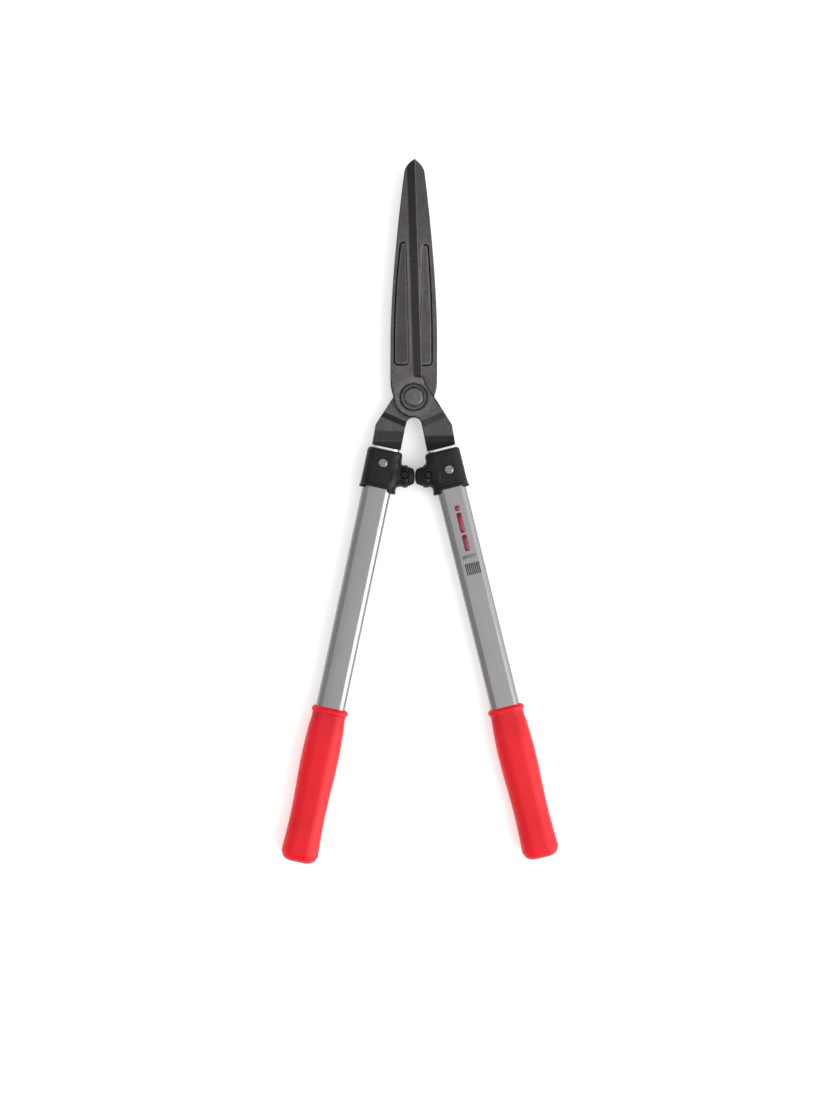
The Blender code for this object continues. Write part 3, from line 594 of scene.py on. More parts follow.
def make_tube_look():
    """A satin anodised extrusion with fine streaks, a few handling marks and a painted highlight at
    its upper end.
    """
    look = Look("tube_aluminium", 0.30, metallic=1.0)
    streaks = look.noise(0.0005, 3.0, (1.0, 0.006, 1.0))
    cloud = look.noise(0.030, 3.0)
    base = look.two_tone(streaks, 0.3, 0.7, (0.224, 0.220, 0.222), (0.256, 0.250, 0.254))
    base = look.mix(look.remap(cloud, 0.4, 0.7, 0.0, 0.25), base, (0.206, 0.201, 0.204))
    marks = look.remap(look.cells(0.006, (1.0, 0.25, 1.0)), 0.0, 0.05, 1.0, 0.0)
    base = look.worn(marks, 0.35, base, (0.16, 0.155, 0.156))
    # a painted highlight on the tube's upper end, above the collar
    look.colour(look.worn(look.attribute("end_highlight"), 0.72, base, (0.68, 0.67, 0.67)))
    look.roughness(streaks, 0.25, 0.75, 0.18, 0.28)
    look.bump((streaks, 0.00004), (look.noise(0.0003, 2.0), 0.00001))
    return look.material


def make_collar_look():
    """Black moulded nylon with a fine spark-eroded texture."""
    look = Look("black_plastic", 0.42, specular=0.2)
    grain = look.noise(0.0006, 2.0)
    cloud = look.noise(0.010, 3.0)
    look.colour(look.two_tone(cloud, 0.35, 0.65, (0.0030, 0.0026, 0.0028),
                              (0.0050, 0.0044, 0.0047)))
    look.roughness(look.math("ADD", grain, cloud), 0.7, 1.3, 0.34, 0.50)
    look.bump((grain, 0.00005))
    return look.material


def make_grip_look():
    """Soft red vinyl: a dipped skin with faint waves and a fine grain."""
    look = Look("red_grip", 0.44, specular=0.22)
    cloud = look.noise(0.020, 2.0)
    grain = look.noise(0.0010, 2.0)
    look.colour(look.two_tone(cloud, 0.35, 0.65, (0.475, 0.0045, 0.0100),
                              (0.510, 0.0060, 0.0125)))
    look.roughness(look.math("ADD", cloud, grain), 0.7, 1.3, 0.36, 0.48)
    look.bump((grain, 0.00003), (cloud, 0.0002))
    look.set({"Subsurface Weight": 0.8, "Subsurface Scale": 0.020,
              "Subsurface Radius": (1.0, 0.12, 0.12)})
    return look.material


def make_plain_look(name, dark, light, roughness, spread=0.06, grain_size=0.0012,
                    grain_depth=0.00004, specular=0.5):
    """A moulded or printed finish: two close colours and a little grain."""
    look = Look(name, roughness, specular=specular)
    grain = look.noise(grain_size, 3.0)
    look.colour(look.two_tone(grain, 0.3, 0.7, dark, light))
    look.roughness(grain, 0.3, 0.7, roughness - spread, roughness + spread)
    look.bump((grain, grain_depth))
    return look.material


LOOKS = {
    "blade_steel": make_blade_look(),
    "dark_steel": make_dark_steel_look(),
    "zinc_steel": make_zinc_look(),
    "tube_aluminium": make_tube_look(),
    "black_plastic": make_collar_look(),
    "black_rubber": make_plain_look("black_rubber", (0.004, 0.0038, 0.0038),
                                    (0.009, 0.0085, 0.0085), 0.59, 0.09, 0.0008, 0.00006, 0.15),
    "red_grip": make_grip_look(),
    "grey_plastic": make_plain_look("grey_plastic", (0.16, 0.16, 0.16), (0.20, 0.20, 0.20), 0.55),
    "nylon": make_plain_look("nylon", (0.62, 0.64, 0.67), (0.72, 0.74, 0.77), 0.50),
}
INKS = {
    "print_red": make_plain_look("print_red", (0.13, 0.006, 0.020), (0.17, 0.009, 0.027), 0.45),
    "print_grey": make_plain_look("print_grey", (0.09, 0.09, 0.09), (0.12, 0.12, 0.12), 0.45),
    "print_dark": make_plain_look("print_dark", (0.004, 0.004, 0.004), (0.008, 0.008, 0.008), 0.45),
}


# ---- blades
def blade_outline(tube_end, slope):
    """The front blade's outline seen from above, for a tube on its lower right."""
    tip = bend(EDGE_HIGH, TIP_HIGH_GUIDE, TIP_LOW_GUIDE, TIP_LOW, 24)
    tip_slope = (TIP_LOW_GUIDE - TIP_LOW).normalized()
    back = bend(TIP_LOW, TIP_LOW - tip_slope * BACK_TIP_REACH, BACK_GUIDE,
                Vector((SPINE_X, SPINE_HIGH)), 60)
    boss_start = circle_point((0, 0), BOSS_RADIUS, BOSS_START)
    hip = bend(Vector((SPINE_X, SPINE_LOW)), Vector((SPINE_X, SPINE_LOW - HIP_REACH_HIGH)),
               boss_start - heading(BOSS_START + 90) * HIP_REACH_LOW, boss_start, 20)
    boss = arc((0, 0), BOSS_RADIUS, BOSS_START, 270, 36)
    crotch = arc((CROTCH_X, -BOSS_RADIUS - CROTCH_RADIUS), CROTCH_RADIUS, CROTCH_START,
                 TANG_INNER_ANGLE, 24)
    tube_way = heading(slope - 90)
    across = Vector((-tube_way.y, tube_way.x))
    stop = tube_end - tube_way * GAP
    inner_stop = meeting_point(crotch[-1], heading(TANG_INNER_ANGLE - 90), stop, across)
    outer_stop = meeting_point(SHOULDER, heading(TANG_OUTER_ANGLE - 90), stop, across)
    half = across * TONGUE_WIDTH / 2
    tongue_end = tube_end + tube_way * TONGUE_LENGTH
    tongue = [stop - half]
    tongue += rounded_corner(stop - half, tongue_end - half, tongue_end, TONGUE_CORNER, 6)
    tongue += rounded_corner(tongue_end, tongue_end + half, stop + half, TONGUE_CORNER, 6)
    tongue += [stop + half]
    shoulder = rounded_corner(outer_stop, SHOULDER, NECK_LOW, SHOULDER_RADIUS, 16)
    neck_way = (NECK_LOW - SHOULDER).normalized()
    neck = bend(NECK_LOW, NECK_LOW + neck_way * NECK_REACH_LOW, NECK_HIGH + NECK_REACH_HIGH,
                NECK_HIGH, 20)
    outline = tip + back[1:] + hip + boss[1:] + crotch + [inner_stop] + tongue
    return outline + [outer_stop] + shoulder + neck + [EDGE_LOW]


def panel_outline(high, left):
    """The sunk panel: straight towards the edge, curved along the back of the blade."""
    top = arc(high, PANEL_TOP_RADIUS, 0, 180, 24)
    side = bend(top[-1], PANEL_SIDE_GUIDE + Vector((left, 0.0)), Vector((left, PANEL_SIDE_HIGH)),
                Vector((left, PANEL_SIDE_LOW)), 40)
    left_centre = (left + PANEL_CORNER, PANEL_BOTTOM + PANEL_CORNER)
    right_centre = (PANEL_RIGHT - PANEL_CORNER, PANEL_BOTTOM + PANEL_CORNER)
    corners = arc(left_centre, PANEL_CORNER, 180, 270, 12)
    corners += arc(right_centre, PANEL_CORNER, 270, 360, 12)
    return top + side[1:] + corners


def edge_coordinates(points):
    """Distance back from the cutting edge, and distance along it from its lower end."""
    along = np.array((EDGE_HIGH - EDGE_LOW).normalized()[:])
    offset = points - np.array(EDGE_LOW[:])
    return offset[:, 0] * -along[1] + offset[:, 1] * along[0], offset @ along


def above_joggle(points):
    """How far above the middle of the joggle each point is, in joggle widths."""
    normal = np.array(heading(JOGGLE_ANGLE + 90)[:])
    return (points - np.array(JOGGLE_CENTRE[:])) @ normal / JOGGLE_WIDTH


def feature_rows(outline, panel):
    """Close rows of points along a blade's rim, panel, bevel, heel and joggle."""
    along = EDGE_HIGH - EDGE_LOW
    back = Vector((-along.y, along.x)).normalized()
    lines = [[EDGE_LOW.lerp(EDGE_HIGH, step / 210) + back * distance * MM
              for step in range(211)] for distance in EDGE_ROWS]
    for distance in HEEL_ROWS:
        start = EDGE_LOW + along.normalized() * distance * MM
        lines.append([start + back * step * 0.5 * MM for step in range(20)])
    for share in np.linspace(-0.66, 0.66, 15):
        middle = JOGGLE_CENTRE + heading(JOGGLE_ANGLE + 90) * share * JOGGLE_WIDTH
        lines.append([middle + heading(JOGGLE_ANGLE) * step * 0.8 * MM
                      for step in range(-28, 29)])
    rows = offset_rows(outline, [distance * MM for distance in RIM_ROWS])
    rows += offset_rows(panel, [distance * MM for distance in PANEL_ROWS])
    return np.concatenate(rows + [rows_of(line) for line in lines])


def blade_points(outline, panel, holes):
    """A blade's plan points: close rows along its features, and an even grid between."""
    fine = feature_rows(outline, panel)
    low, high = outline.min(0), outline.max(0)
    grid = np.array(list(itertools.product(np.arange(low[0], high[0], GRID_PITCH),
                                           np.arange(low[1], high[1], GRID_PITCH))))
    grid[:, 0] += (np.round(grid[:, 1] / GRID_PITCH) % 2) * GRID_PITCH / 2
    cells = {tuple(cell) for cell in np.floor(fine / ROW_CLEARANCE).astype(int).tolist()}
    keys = np.floor(grid / ROW_CLEARANCE).astype(int).tolist()
    grid = grid[[tuple(key) not in cells for key in keys]]
    points = np.concatenate((fine, grid))
    points = points[loop_distance(points, outline) > 0.04 * MM]
    for hole in holes:
        points = points[loop_distance(points, hole) < -0.3 * MM]
    rounded = np.round(points / (0.03 * MM)).astype(int)
    _, first = np.unique(rounded, axis=0, return_index=True)
    return points[np.sort(first)]


def triangles_between(outline, holes, points):
    """Plan triangles inside the outline and outside the holes, with their points."""
    loops = [outline, *holes]
    corners = np.concatenate((*loops, points)) / MM
    edges, first = [], 0
    for loop in loops:
        count = len(loop)
        edges += [(first + step, first + (step + 1) % count) for step in range(count)]
        first += count
    found = delaunay_2d_cdt([Vector(point) for point in corners.tolist()], edges, [], 1, 1e-5)
    corners = rows_of(found[0]) * MM
    faces = np.array(found[2])
    middle = corners[faces].mean(1)
    keep = loop_distance(middle, outline) > 0
    for hole in holes:
        keep &= loop_distance(middle, hole) < 0
    return corners, faces[keep]


def uneven(points, seed):
    """A forging's slight unevenness, from -1 to 1."""
    return np.array([noise.noise((x * 70 + seed, y * 45, seed)) +
                     0.5 * noise.noise((x * 190, y * 130 + seed, seed)) for x, y in points])


def panel_sink(points, panel, high):
    """How deep the panel sinks into a face, the painted shade and highlights along its walls, and
    where it is.
    """
    inside = loop_distance(points, panel) / MM
    lift = np.maximum(points[:, 1] - PANEL_SIDE_LOW, 0.0)
    lean = (PANEL_RIGHT - high.x - PANEL_TOP_RADIUS) / (high.y - PANEL_SIDE_LOW)
    from_right = (PANEL_RIGHT - points[:, 0] - lift * lean) / MM
    groove_side = rise(from_right, 0.8, 2.2)
    groove = groove_side * (1 - rise(inside, 0.9, 0.8))
    depth = smooth(inside / (0.9 - 0.45 * groove_side))
    depth *= PANEL_DEPTH + GROOVE_DEPTH * groove
    depth -= 0.10 * MM * groove_side * bell(inside, PANEL_RIDGE, 0.45)
    # painted shade in the groove, and painted highlights on the ridge beside it and along the
    # panel's other edge
    tone_and_shading = 1 - 0.9 * groove * rise(inside, -0.15, 0.3)
    tone_and_shading += 0.75 * groove_side * bell(inside, PANEL_RIDGE, 0.40)
    tone_and_shading += 0.50 * (1 - groove_side) * bell(inside, -0.1, 0.35)
    return depth, tone_and_shading, smooth(inside)


def blade_tone(points, rim, back, ground, handle, sunk):
    """How light the scale is over a blade's outer and inner faces, with painted shade and
    highlights, and where its bevel is.
    """
    front = handle.side > 0
    overall, panel, joggle, tang, tang_top = TONES[handle.name]
    height = points[:, 1] / MM
    distance = np.linalg.norm(points, axis=1) / MM
    tone_and_shading = np.full(len(points), overall)
    if front:
        # lighter round the pivot, mostly on the left; a little darker from the pivot down
        tone_and_shading *= 1 - 0.12 * (1 - rise(height, 4.0, 12.0))
        boss = 1 - rise(distance, 15.0, 8.0)
        tone_and_shading *= 1 + (0.50 - 0.30 * rise(points[:, 0] / MM, 4.0, 12.0)) * boss
    # painted shade in the panel's recess, on the joggle's slope and below it; darker towards the
    # tip
    tone_and_shading *= 1 - panel * sunk
    tone_and_shading *= 1 - 0.18 * rise(height, 150.0, 30.0)
    above = above_joggle(points)
    tone_and_shading *= 1 - 0.15 * rise(-above, 0.5, 0.2)
    tone_and_shading *= 1 - joggle * rise(0.62 - np.abs(above), 0.0, 0.10)
    # the tang: a slanted dark end and a darker foot, both painted shade, with a lighter line above
    # the foot
    tone_and_shading *= 1 - (1 - tang) * rise(0.05 * points[:, 0] / MM - height, -tang_top, 1.3)
    tone_and_shading *= 1 - 0.42 * rise(-height, 42.6, 0.8)
    tone_and_shading *= 1 + 0.5 * bell(height, -41.9, 0.45)
    # on the outer face, painted shade: the ground bevel darkened, a dark rim along the boss and the
    # bolt's shadow line
    bevel = rise(back / MM, 0.9, 0.3) * ground
    bevel *= 1 - rise((back - BEVEL_WIDTH) / MM, -0.8, 1.0)
    outer_tone = tone_and_shading * (1 - 0.86 * bevel)
    if front:
        outline = (1 - rise(rim / MM, 0.80, 0.25)) * (distance < 27.0) * (height < 19.5)
        outer_tone *= 1 - 0.93 * outline
    outer_tone *= 1 - 0.95 * bell(distance, 13.4, 0.60)
    return outer_tone, tone_and_shading, bevel


def blade_thickness(points, back, ground):
    """The plate's thickness: ground to a bevel at the edge and thinned towards the tip."""
    honed = HONED_RISE * np.clip(back / HONED_WIDTH, 0.0, 1.0) + np.maximum(
        back - HONED_WIDTH, 0.0) * (PLATE - EDGE_THICKNESS) / (BEVEL_WIDTH - HONED_WIDTH)
    bevel = smooth_min(EDGE_THICKNESS + honed, np.full(len(points), PLATE), 0.0004)
    top = PLATE + (bevel - PLATE) * ground
    thinned = np.maximum(points[:, 1] - TAPER_START, 0.0) / (TIP_Y - TAPER_START)
    return top * (1 - (1 - TIP_THICKNESS / PLATE) * thinned)


def rim_drop(rim, radius):
    """How far a face falls where its rim is rounded off."""
    reach = np.clip((radius - rim) / radius, 0.0, 1.0)
    return radius * (1 - np.sqrt(1 - reach ** 2))


def joggle_shift(points):
    """How far the plate steps down across its joggle."""
    zero, one = np.zeros(len(points)), np.ones(len(points))
    below = np.maximum(smooth_max(0.5 - above_joggle(points), zero, JOGGLE_BLEND), 0.0)
    below = smooth_min(below, one, JOGGLE_BLEND)
    return (INNER + PLATE / 2) * np.clip(below, 0.0, 1.0)


def plate_faces(faces, count):
    """Upper faces, the same faces turned over below, and the walls between their rims."""
    sides = np.concatenate((faces[:, (0, 1)], faces[:, (1, 2)], faces[:, (2, 0)])).tolist()
    known = {tuple(pair) for pair in sides}
    walls = [(a + count, b + count, b, a) for a, b in sides if (b, a) not in known]
    return faces.tolist() + (faces[:, ::-1] + count).tolist() + walls


def make_blade(name, handle, place, body):
    """One forged blade with its tang, modelled in the front blade's place."""
    side = handle.side
    tube_end = Vector((abs(handle.end.x), handle.end.y))
    outline = denser(blade_outline(tube_end, handle.slope), 0.9 * MM)
    panel_top = PANEL_TOPS[handle.name]
    panel = denser(panel_outline(panel_top, PANEL_LEFTS[handle.name]), 0.8 * MM)
    screw = Vector((abs(handle.screw.x), handle.screw.y))
    holes = [rows_of(arc(middle, radius, 0, 360, count)[:-1])
             for middle, radius, count in (((0, 0), BOLT_HOLE_RADIUS, 48),
                                           (screw, SCREW_HOLE_RADIUS, 28))]
    points, faces = triangles_between(outline, holes, blade_points(outline, panel, holes))
    rim = np.abs(loop_distance(points, outline))
    back, along = edge_coordinates(points)
    ground = rise(along / MM, -0.2, 0.7)
    top = blade_thickness(points, back, ground)
    sink, panel_tone, sunk = panel_sink(points, panel, panel_top)
    rounding = np.clip(0.26 * top, 0.05 * MM, EDGE_ROUND)
    quiet = rise(rim / MM, 0.0, 1.5) * (points[:, 1] > UNEVEN_LOW)
    outer = INNER + top - sink - rim_drop(rim, rounding)
    outer += uneven(points, side + 3.0) * UNEVEN_HEIGHT * quiet
    outer -= SEAT_DEPTH * (1 - rise(np.linalg.norm(points, axis=1), SEAT_RADIUS, 0.5 * MM))
    inner = INNER + sink + rim_drop(rim, np.minimum(rounding, INNER_EDGE_ROUND))
    shift = joggle_shift(points)
    x = points[:, 0] + LEAN * side * np.maximum(points[:, 1] - TAPER_START, 0.0)
    upper = np.column_stack((x, points[:, 1], outer - shift))
    lower = np.column_stack((x, points[:, 1], inner - shift))
    vertices = np.concatenate((upper, lower))
    obj = make_piece(name, vertices, plate_faces(faces, len(points)), place)
    # the faces' tone with painted shade and painted highlights
    outer_tone, inner_tone, bevel = blade_tone(points, rim, back, ground, handle, sunk)
    edge = (back < HONED_WIDTH) * ground
    wear = 1 - rise(rim / MM, 0.0, 0.55)
    wear *= 0.35 + 0.65 * rise(points[:, 1], 0.020, 0.006)
    for attribute, outside, inside in (
            ("tone_and_shading", outer_tone * panel_tone, inner_tone * panel_tone),
            ("bevel", bevel, bevel * 0.0), ("honed", edge, edge * 0.0), ("wear", wear, wear)):
        paint(obj.data, attribute, np.concatenate((outside, inside)))
    finish_piece(obj, body, "blade_steel")


def make_blades():
    middle = Matrix.Translation((0.0, 0.0, MID_HEIGHT))
    turned_over = middle @ Matrix.Rotation(math.pi, 4, "Y")
    make_blade("front_blade_look", HANDLES["right"], middle, "front_lever")
    make_blade("rear_blade_look", HANDLES["left"], turned_over, "rear_lever")


# ---- pivot fasteners
def hexagon_radius(angle, flats, turn, limit):
    """Radius of a hexagon in each direction, with its corners turned off at a limit."""
    nearest = (angle - math.radians(turn)) % (math.pi / 3) - math.pi / 6
    return np.minimum(flats / 2 / np.cos(nearest), limit)


def hexagon_rings(radius, circle, low, high, chamfer, count, bottom_chamfer):
    """Rings up a hexagon's sides and over its chamfered ends, to a circle at each end."""
    cut = (radius - circle) * math.tan(math.radians(chamfer))
    profile = [(circle, low), (radius, low + cut)] if bottom_chamfer else [(radius, low)]
    return turned_rings(profile + [(radius, high - cut), (circle, high)], count)


def bolt_tone(places, face):
    """Painted shade on the bolt: a dark flange rim and hexagon foot, lighter away from the light.
    """
    radius = np.hypot(places[:, 0], places[:, 1])
    bearing = np.arctan2(places[:, 1], places[:, 0])
    hexagon = hexagon_radius(bearing, BOLT_FLATS, BOLT_TURN, BOLT_FLATS / 2 * BOLT_CORNERS)
    shade = 0.5 + 0.5 * np.cos(bearing - math.radians(50.0))
    tone_and_shading = np.where(radius > 0.0121, 0.03, 0.92 - 0.30 * shade)
    tone_and_shading = np.where(radius - hexagon < 0.0006, 0.06 + 0.60 * (1 - shade) ** 2, tone_and_shading)
    return np.where((radius < 0.0081) | (places[:, 2] < face), 1.0, tone_and_shading)


def make_pivot_bolt():
    """The flanged bolt head with a domed, chamfered hexagon, and its shank."""
    low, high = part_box("pivot_bolt")
    face = MID_HEIGHT + INNER + PLATE + GAP
    top = face + FLANGE_THICKNESS
    shank, flange = SHANK_RADIUS, FLANGE_RADIUS
    profile = [(0.0, low.z), (shank - 0.0009, low.z), (shank - 0.0002, low.z + 0.0007),
               (shank, low.z + 0.0010), (shank, face - 0.0002), (shank + 0.0002, face),
               (flange - 0.0004, face)]
    profile += arc((flange - 0.0005, face + 0.0005), 0.0005, -70, 0, 4)
    profile += arc((flange - 0.0007, top - 0.0007), 0.0007, 0, 90, 8)
    profile += [(0.0119, top)]
    hexagon = hexagon_radius(around(BOLT_STEPS), BOLT_FLATS, BOLT_TURN,
                             BOLT_FLATS / 2 * BOLT_CORNERS)
    profile += [(hexagon + gap, top) for gap in (0.0008, 0.0005, 0.0001)]
    rings = turned_rings(profile, BOLT_STEPS)
    head_top = high.z - 0.0006
    rings += hexagon_rings(hexagon, BOLT_FLATS / 2 * HEXAGON_CIRCLE, top, head_top, 28.0,
                           BOLT_STEPS, False)
    rings += turned_rings([(0.0078, head_top + 0.00022), (0.0072, head_top + 0.00034),
                           (0.0055, head_top + 0.00046), (0.0030, head_top + 0.00056),
                           (0.0, high.z)], BOLT_STEPS)
    obj = skin("pivot_bolt_look", rings, sharp=28.0)
    # the bolt's painted shade goes onto its vertices
    paint(obj.data, "tone_and_shading", bolt_tone(rows_of(v.co for v in obj.data.vertices), face))
    finish_piece(obj, "rear_lever", "dark_steel")


def ring_piece(name, inner, outer, low, high, edge):
    """A flat ring with small bevelled edges."""
    profile = [(inner, low + edge), (inner + edge, low), (outer - edge, low),
               (outer, low + edge), (outer, high - edge), (outer - edge, high),
               (inner + edge, high), (inner, high - edge)]
    return skin(name, turned_rings(profile, NUT_STEPS), closed=True, sharp=50.0)


def nut_piece(name, flats, hole, low, high, pocket=None):
    """A hexagon nut with chamfered ends and a bore, perhaps with a pocket below."""
    radius = hexagon_radius(around(NUT_STEPS), flats, 0.0, flats / 2 * NUT_CORNERS)
    rings = hexagon_rings(radius, flats / 2 * HEXAGON_CIRCLE, low, high, 30.0, NUT_STEPS, True)
    bore = [(hole + 0.0005, high), (hole, high - 0.0005)]
    if pocket:
        wide, depth = pocket
        bore += [(hole, low + depth), (wide, low + depth), (wide, low + 0.0003),
                 (wide + 0.0003, low)]
    else:
        bore += [(hole, low + 0.0005), (hole + 0.0005, low)]
    return skin(name, rings + turned_rings(bore, NUT_STEPS), closed=True, sharp=28.0)


def make_pivot_stack():
    """Washer, dished spring washer, lock nut and nylon ring behind the rear blade."""
    hole = STACK_BORE
    low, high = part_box("pivot_washer")
    washer = ring_piece("pivot_washer_look", hole, high.x, low.z, high.z, 0.0002)
    low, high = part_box("pivot_spring_washer")
    dish, thick = 0.0005, 0.0007
    profile = [(hole, high.z - dish - 0.0001), (hole + 0.0001, high.z - dish),
               (high.x - 0.0002, high.z), (high.x, high.z - 0.0001),
               (high.x, high.z - thick + 0.0001), (high.x - 0.0002, high.z - thick),
               (hole + 0.0001, low.z), (hole, low.z + 0.0001)]
    spring = skin("pivot_spring_washer_look", turned_rings(profile, NUT_STEPS), closed=True,
                  sharp=50.0)
    low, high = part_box("pivot_nut")
    nut = nut_piece("pivot_nut_look", PIVOT_NUT_FLATS, hole, low.z, high.z, PIVOT_NUT_POCKET)
    low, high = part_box("pivot_nut_insert")
    insert = ring_piece("pivot_nut_insert_look", hole, high.x, low.z, high.z, 0.0003)
    for obj, slot in ((washer, "zinc_steel"), (spring, "zinc_steel"), (nut, "zinc_steel"),
                      (insert, "nylon")):
        finish_piece(obj, "rear_lever", slot)


# ---- collars
def rounded_box(x, y, half_x, half_y, radius):
    """Signed distance to a rectangle with round corners."""
    qx = np.abs(x) - (half_x - radius)
    qy = np.abs(y) - (half_y - radius)
    outside = np.hypot(np.maximum(qx, 0.0), np.maximum(qy, 0.0))
    return outside + np.minimum(np.maximum(qx, qy), 0.0) - radius


def collar_shell(out, along, z):
    """The sleeve round the tube with its ears and beads, at places across, along and up."""
    half_width = (TUBE_WIDTH + COLLAR_OUTER_WALL + COLLAR_INNER_WALL) / 2
    end = COLLAR_END + sum(reach * rise(sign * out, start, width)
                           for sign, reach, start, width in EARS)
    crown = 0.0003 * (out / half_width) ** 2
    shell = rounded_box(out, z * (1 + crown / 0.0107), half_width, COLLAR_THICKNESS / 2,
                        COLLAR_CORNER)
    body = smooth_max(shell, COLLAR_START - along, 0.0040)
    body = smooth_max(body, along - end, 0.0008)
    for height, middle, half, edge, blend in COLLAR_BEADS:
        bead = smooth_max(shell - height, np.abs(along - end + middle) - half, edge)
        body = smooth_min(body, bead, blend)
    return body


def collar_boss(inward, radius):
    """The round boss that holds the buffer, at places along and away from its axis."""
    waist = 0.0009 * rise(inward, 0.0042, 0.0030)
    boss = smooth_max(radius - BOSS_BODY_RADIUS + waist, -inward, 0.0030)
    return smooth_max(boss, inward - 0.0150, 0.0010)


def collar_field(handle):
    """Signed distance to the moulded collar, as a function of points in its handle's frame."""
    side = handle.side
    turn = math.radians(handle.slope * side)
    screw = handle.place.inverted() @ Vector((*handle.screw, MID_HEIGHT))
    shift = (COLLAR_OUTER_WALL - COLLAR_INNER_WALL) / 2

    def field(points):
        x, y, z = points[..., 0], points[..., 1], points[..., 2]
        out, along = x * side - shift, -y
        world_x = handle.end.x + x * math.cos(turn) - y * math.sin(turn)
        world_y = handle.end.y + x * math.sin(turn) + y * math.cos(turn)
        inward = side * (world_x - handle.boss_end)
        radius = np.hypot(world_y - handle.boss_y, z)
        lug_x, lug_y = inward - handle.lug, world_y - handle.boss_y - LUG_SHIFT
        screw_x, screw_y = x - screw.x, y - screw.y
        from_screw = np.hypot(screw_x, screw_y)

        cheek = np.sqrt(((out + 0.0127) / 0.0052) ** 2 + ((along - 0.0150) / 0.0105) ** 2
                        + (z / 0.0098) ** 2)
        pad = smooth_max(from_screw - PAD_RADIUS, np.abs(z + 0.0066) - 0.0066, 0.0012)
        body = collar_shell(out, along, z)
        for part, blend in (((cheek - 1) * 0.0060, 0.0012),
                            (collar_boss(inward, radius), 0.0036), (pad, 0.0010)):
            body = smooth_min(body, part, blend)

        bore = rounded_box(x, z, TUBE_WIDTH / 2 + GAP, TUBE_THICKNESS / 2 + GAP,
                           TUBE_CORNER + GAP)
        bearing = np.arctan2(screw_y, screw_x) % (math.pi / 3) - math.pi / 6
        hexagon = from_screw * np.cos(bearing) - NUT_FLATS / 2 - GAP
        socket = smooth_max(radius - SOCKET_RADIUS, inward - SOCKET_DEPTH, 0.0006)
        window = smooth_max(np.hypot(lug_y, lug_x) - WINDOW_RADIUS, 0.0012 - z, 0.0006)
        recess = np.maximum(np.abs(lug_y) - 0.0056, np.abs(lug_x) - 0.0052)
        for hole, blend in ((bore, 0.0007), (from_screw - SCREW_HOLE_RADIUS, 0.0004),
                            (smooth_max(hexagon, z + 0.0098, 0.0004), 0.0004),
                            (socket, 0.0006), (window, 0.0007),
                            (smooth_max(recess, 0.01025 - z, 0.0003), 0.0004)):
            body = smooth_max(body, -hole, blend)
        return body

    return field


def cell_crossings(values):
    """For each cell of a grid, the sum and the count of its edges' zero crossings."""
    size = [count - 1 for count in values.shape]
    total, crossings = np.zeros((*size, 3)), np.zeros(size)

    def at(corner):
        return values[tuple(slice(c, c + n) for c, n in zip(corner, size))]

    for first, second in itertools.combinations(itertools.product((0, 1), repeat=3), 2):
        way = np.subtract(second, first)
        if np.abs(way).sum() != 1:
            continue
        near, far = at(first), at(second)
        crosses = (near < 0) != (far < 0)
        share = np.where(crosses, near / np.where(crosses, near - far, 1.0), 0.0)
        total += np.where(crosses[..., None], first + share[..., None] * way, 0.0)
        crossings += crosses
    return total, crossings


def cell_faces(inside, number):
    """A quad of cell numbers round each grid edge that crosses the surface."""
    faces = []
    for axis in range(3):
        others = [a for a in range(3) if a != axis]
        near = [slice(1, -1)] * 3
        near[axis] = slice(0, -1)
        far = list(near)
        far[axis] = slice(1, None)
        crosses = np.argwhere(inside[tuple(near)] != inside[tuple(far)])
        origin = crosses + [int(a != axis) for a in range(3)]
        corners = []
        for steps in ((0, 0), (-1, 0), (-1, -1), (0, -1)):
            place = origin.copy()
            place[:, others] += steps
            corners.append(number[tuple(place.T)])
        quads = np.column_stack(corners)
        rising = inside[tuple(origin.T)]
        flip = rising if axis == 1 else ~rising
        quads[flip] = quads[flip][:, ::-1]
        faces += quads.tolist()
    return faces


def surface_of(field, low, high, step):
    """A closed quad surface where a field changes sign, drawn onto the exact surface."""
    axes = [np.arange(a, b + step, step) for a, b in zip(low, high)]
    values = field(np.stack(np.meshgrid(*axes, indexing="ij"), -1))
    total, crossings = cell_crossings(values)
    used = crossings > 0
    number = np.full(used.shape, -1)
    number[used] = np.arange(used.sum())
    within = total[used] / crossings[used][:, None]
    vertices = np.array(low) + (np.argwhere(used) + within) * step
    tiny = step * 0.05
    for _ in range(3):
        value = field(vertices)
        slope = np.stack([(field(vertices + tiny * unit) - value) / tiny
                          for unit in np.eye(3)], -1)
        move = value[:, None] * slope / np.maximum((slope ** 2).sum(1), 0.3)[:, None]
        length = np.linalg.norm(move, axis=1)[:, None]
        vertices = vertices - move * np.minimum(1.0, 0.5 * step / np.maximum(length, 1e-12))
    return vertices, cell_faces(values < 0, number)


def make_collar(handle):
    """The moulded collar, drawn as a surface through its field."""
    low = [-0.0205, -0.0465, -0.0142]
    high = [0.0205, 0.0005, 0.0120]   # wider on the boss's side, below
    if handle.side > 0:
        low[0] = -0.0325
    else:
        high[0] = 0.0325
    vertices, faces = surface_of(collar_field(handle), low, high, COLLAR_GRID)
    name = handle.name + "_collar"
    obj = make_piece(name + "_look", vertices, faces, handle.place)
    finish_piece(obj, handle.body, "black_plastic")


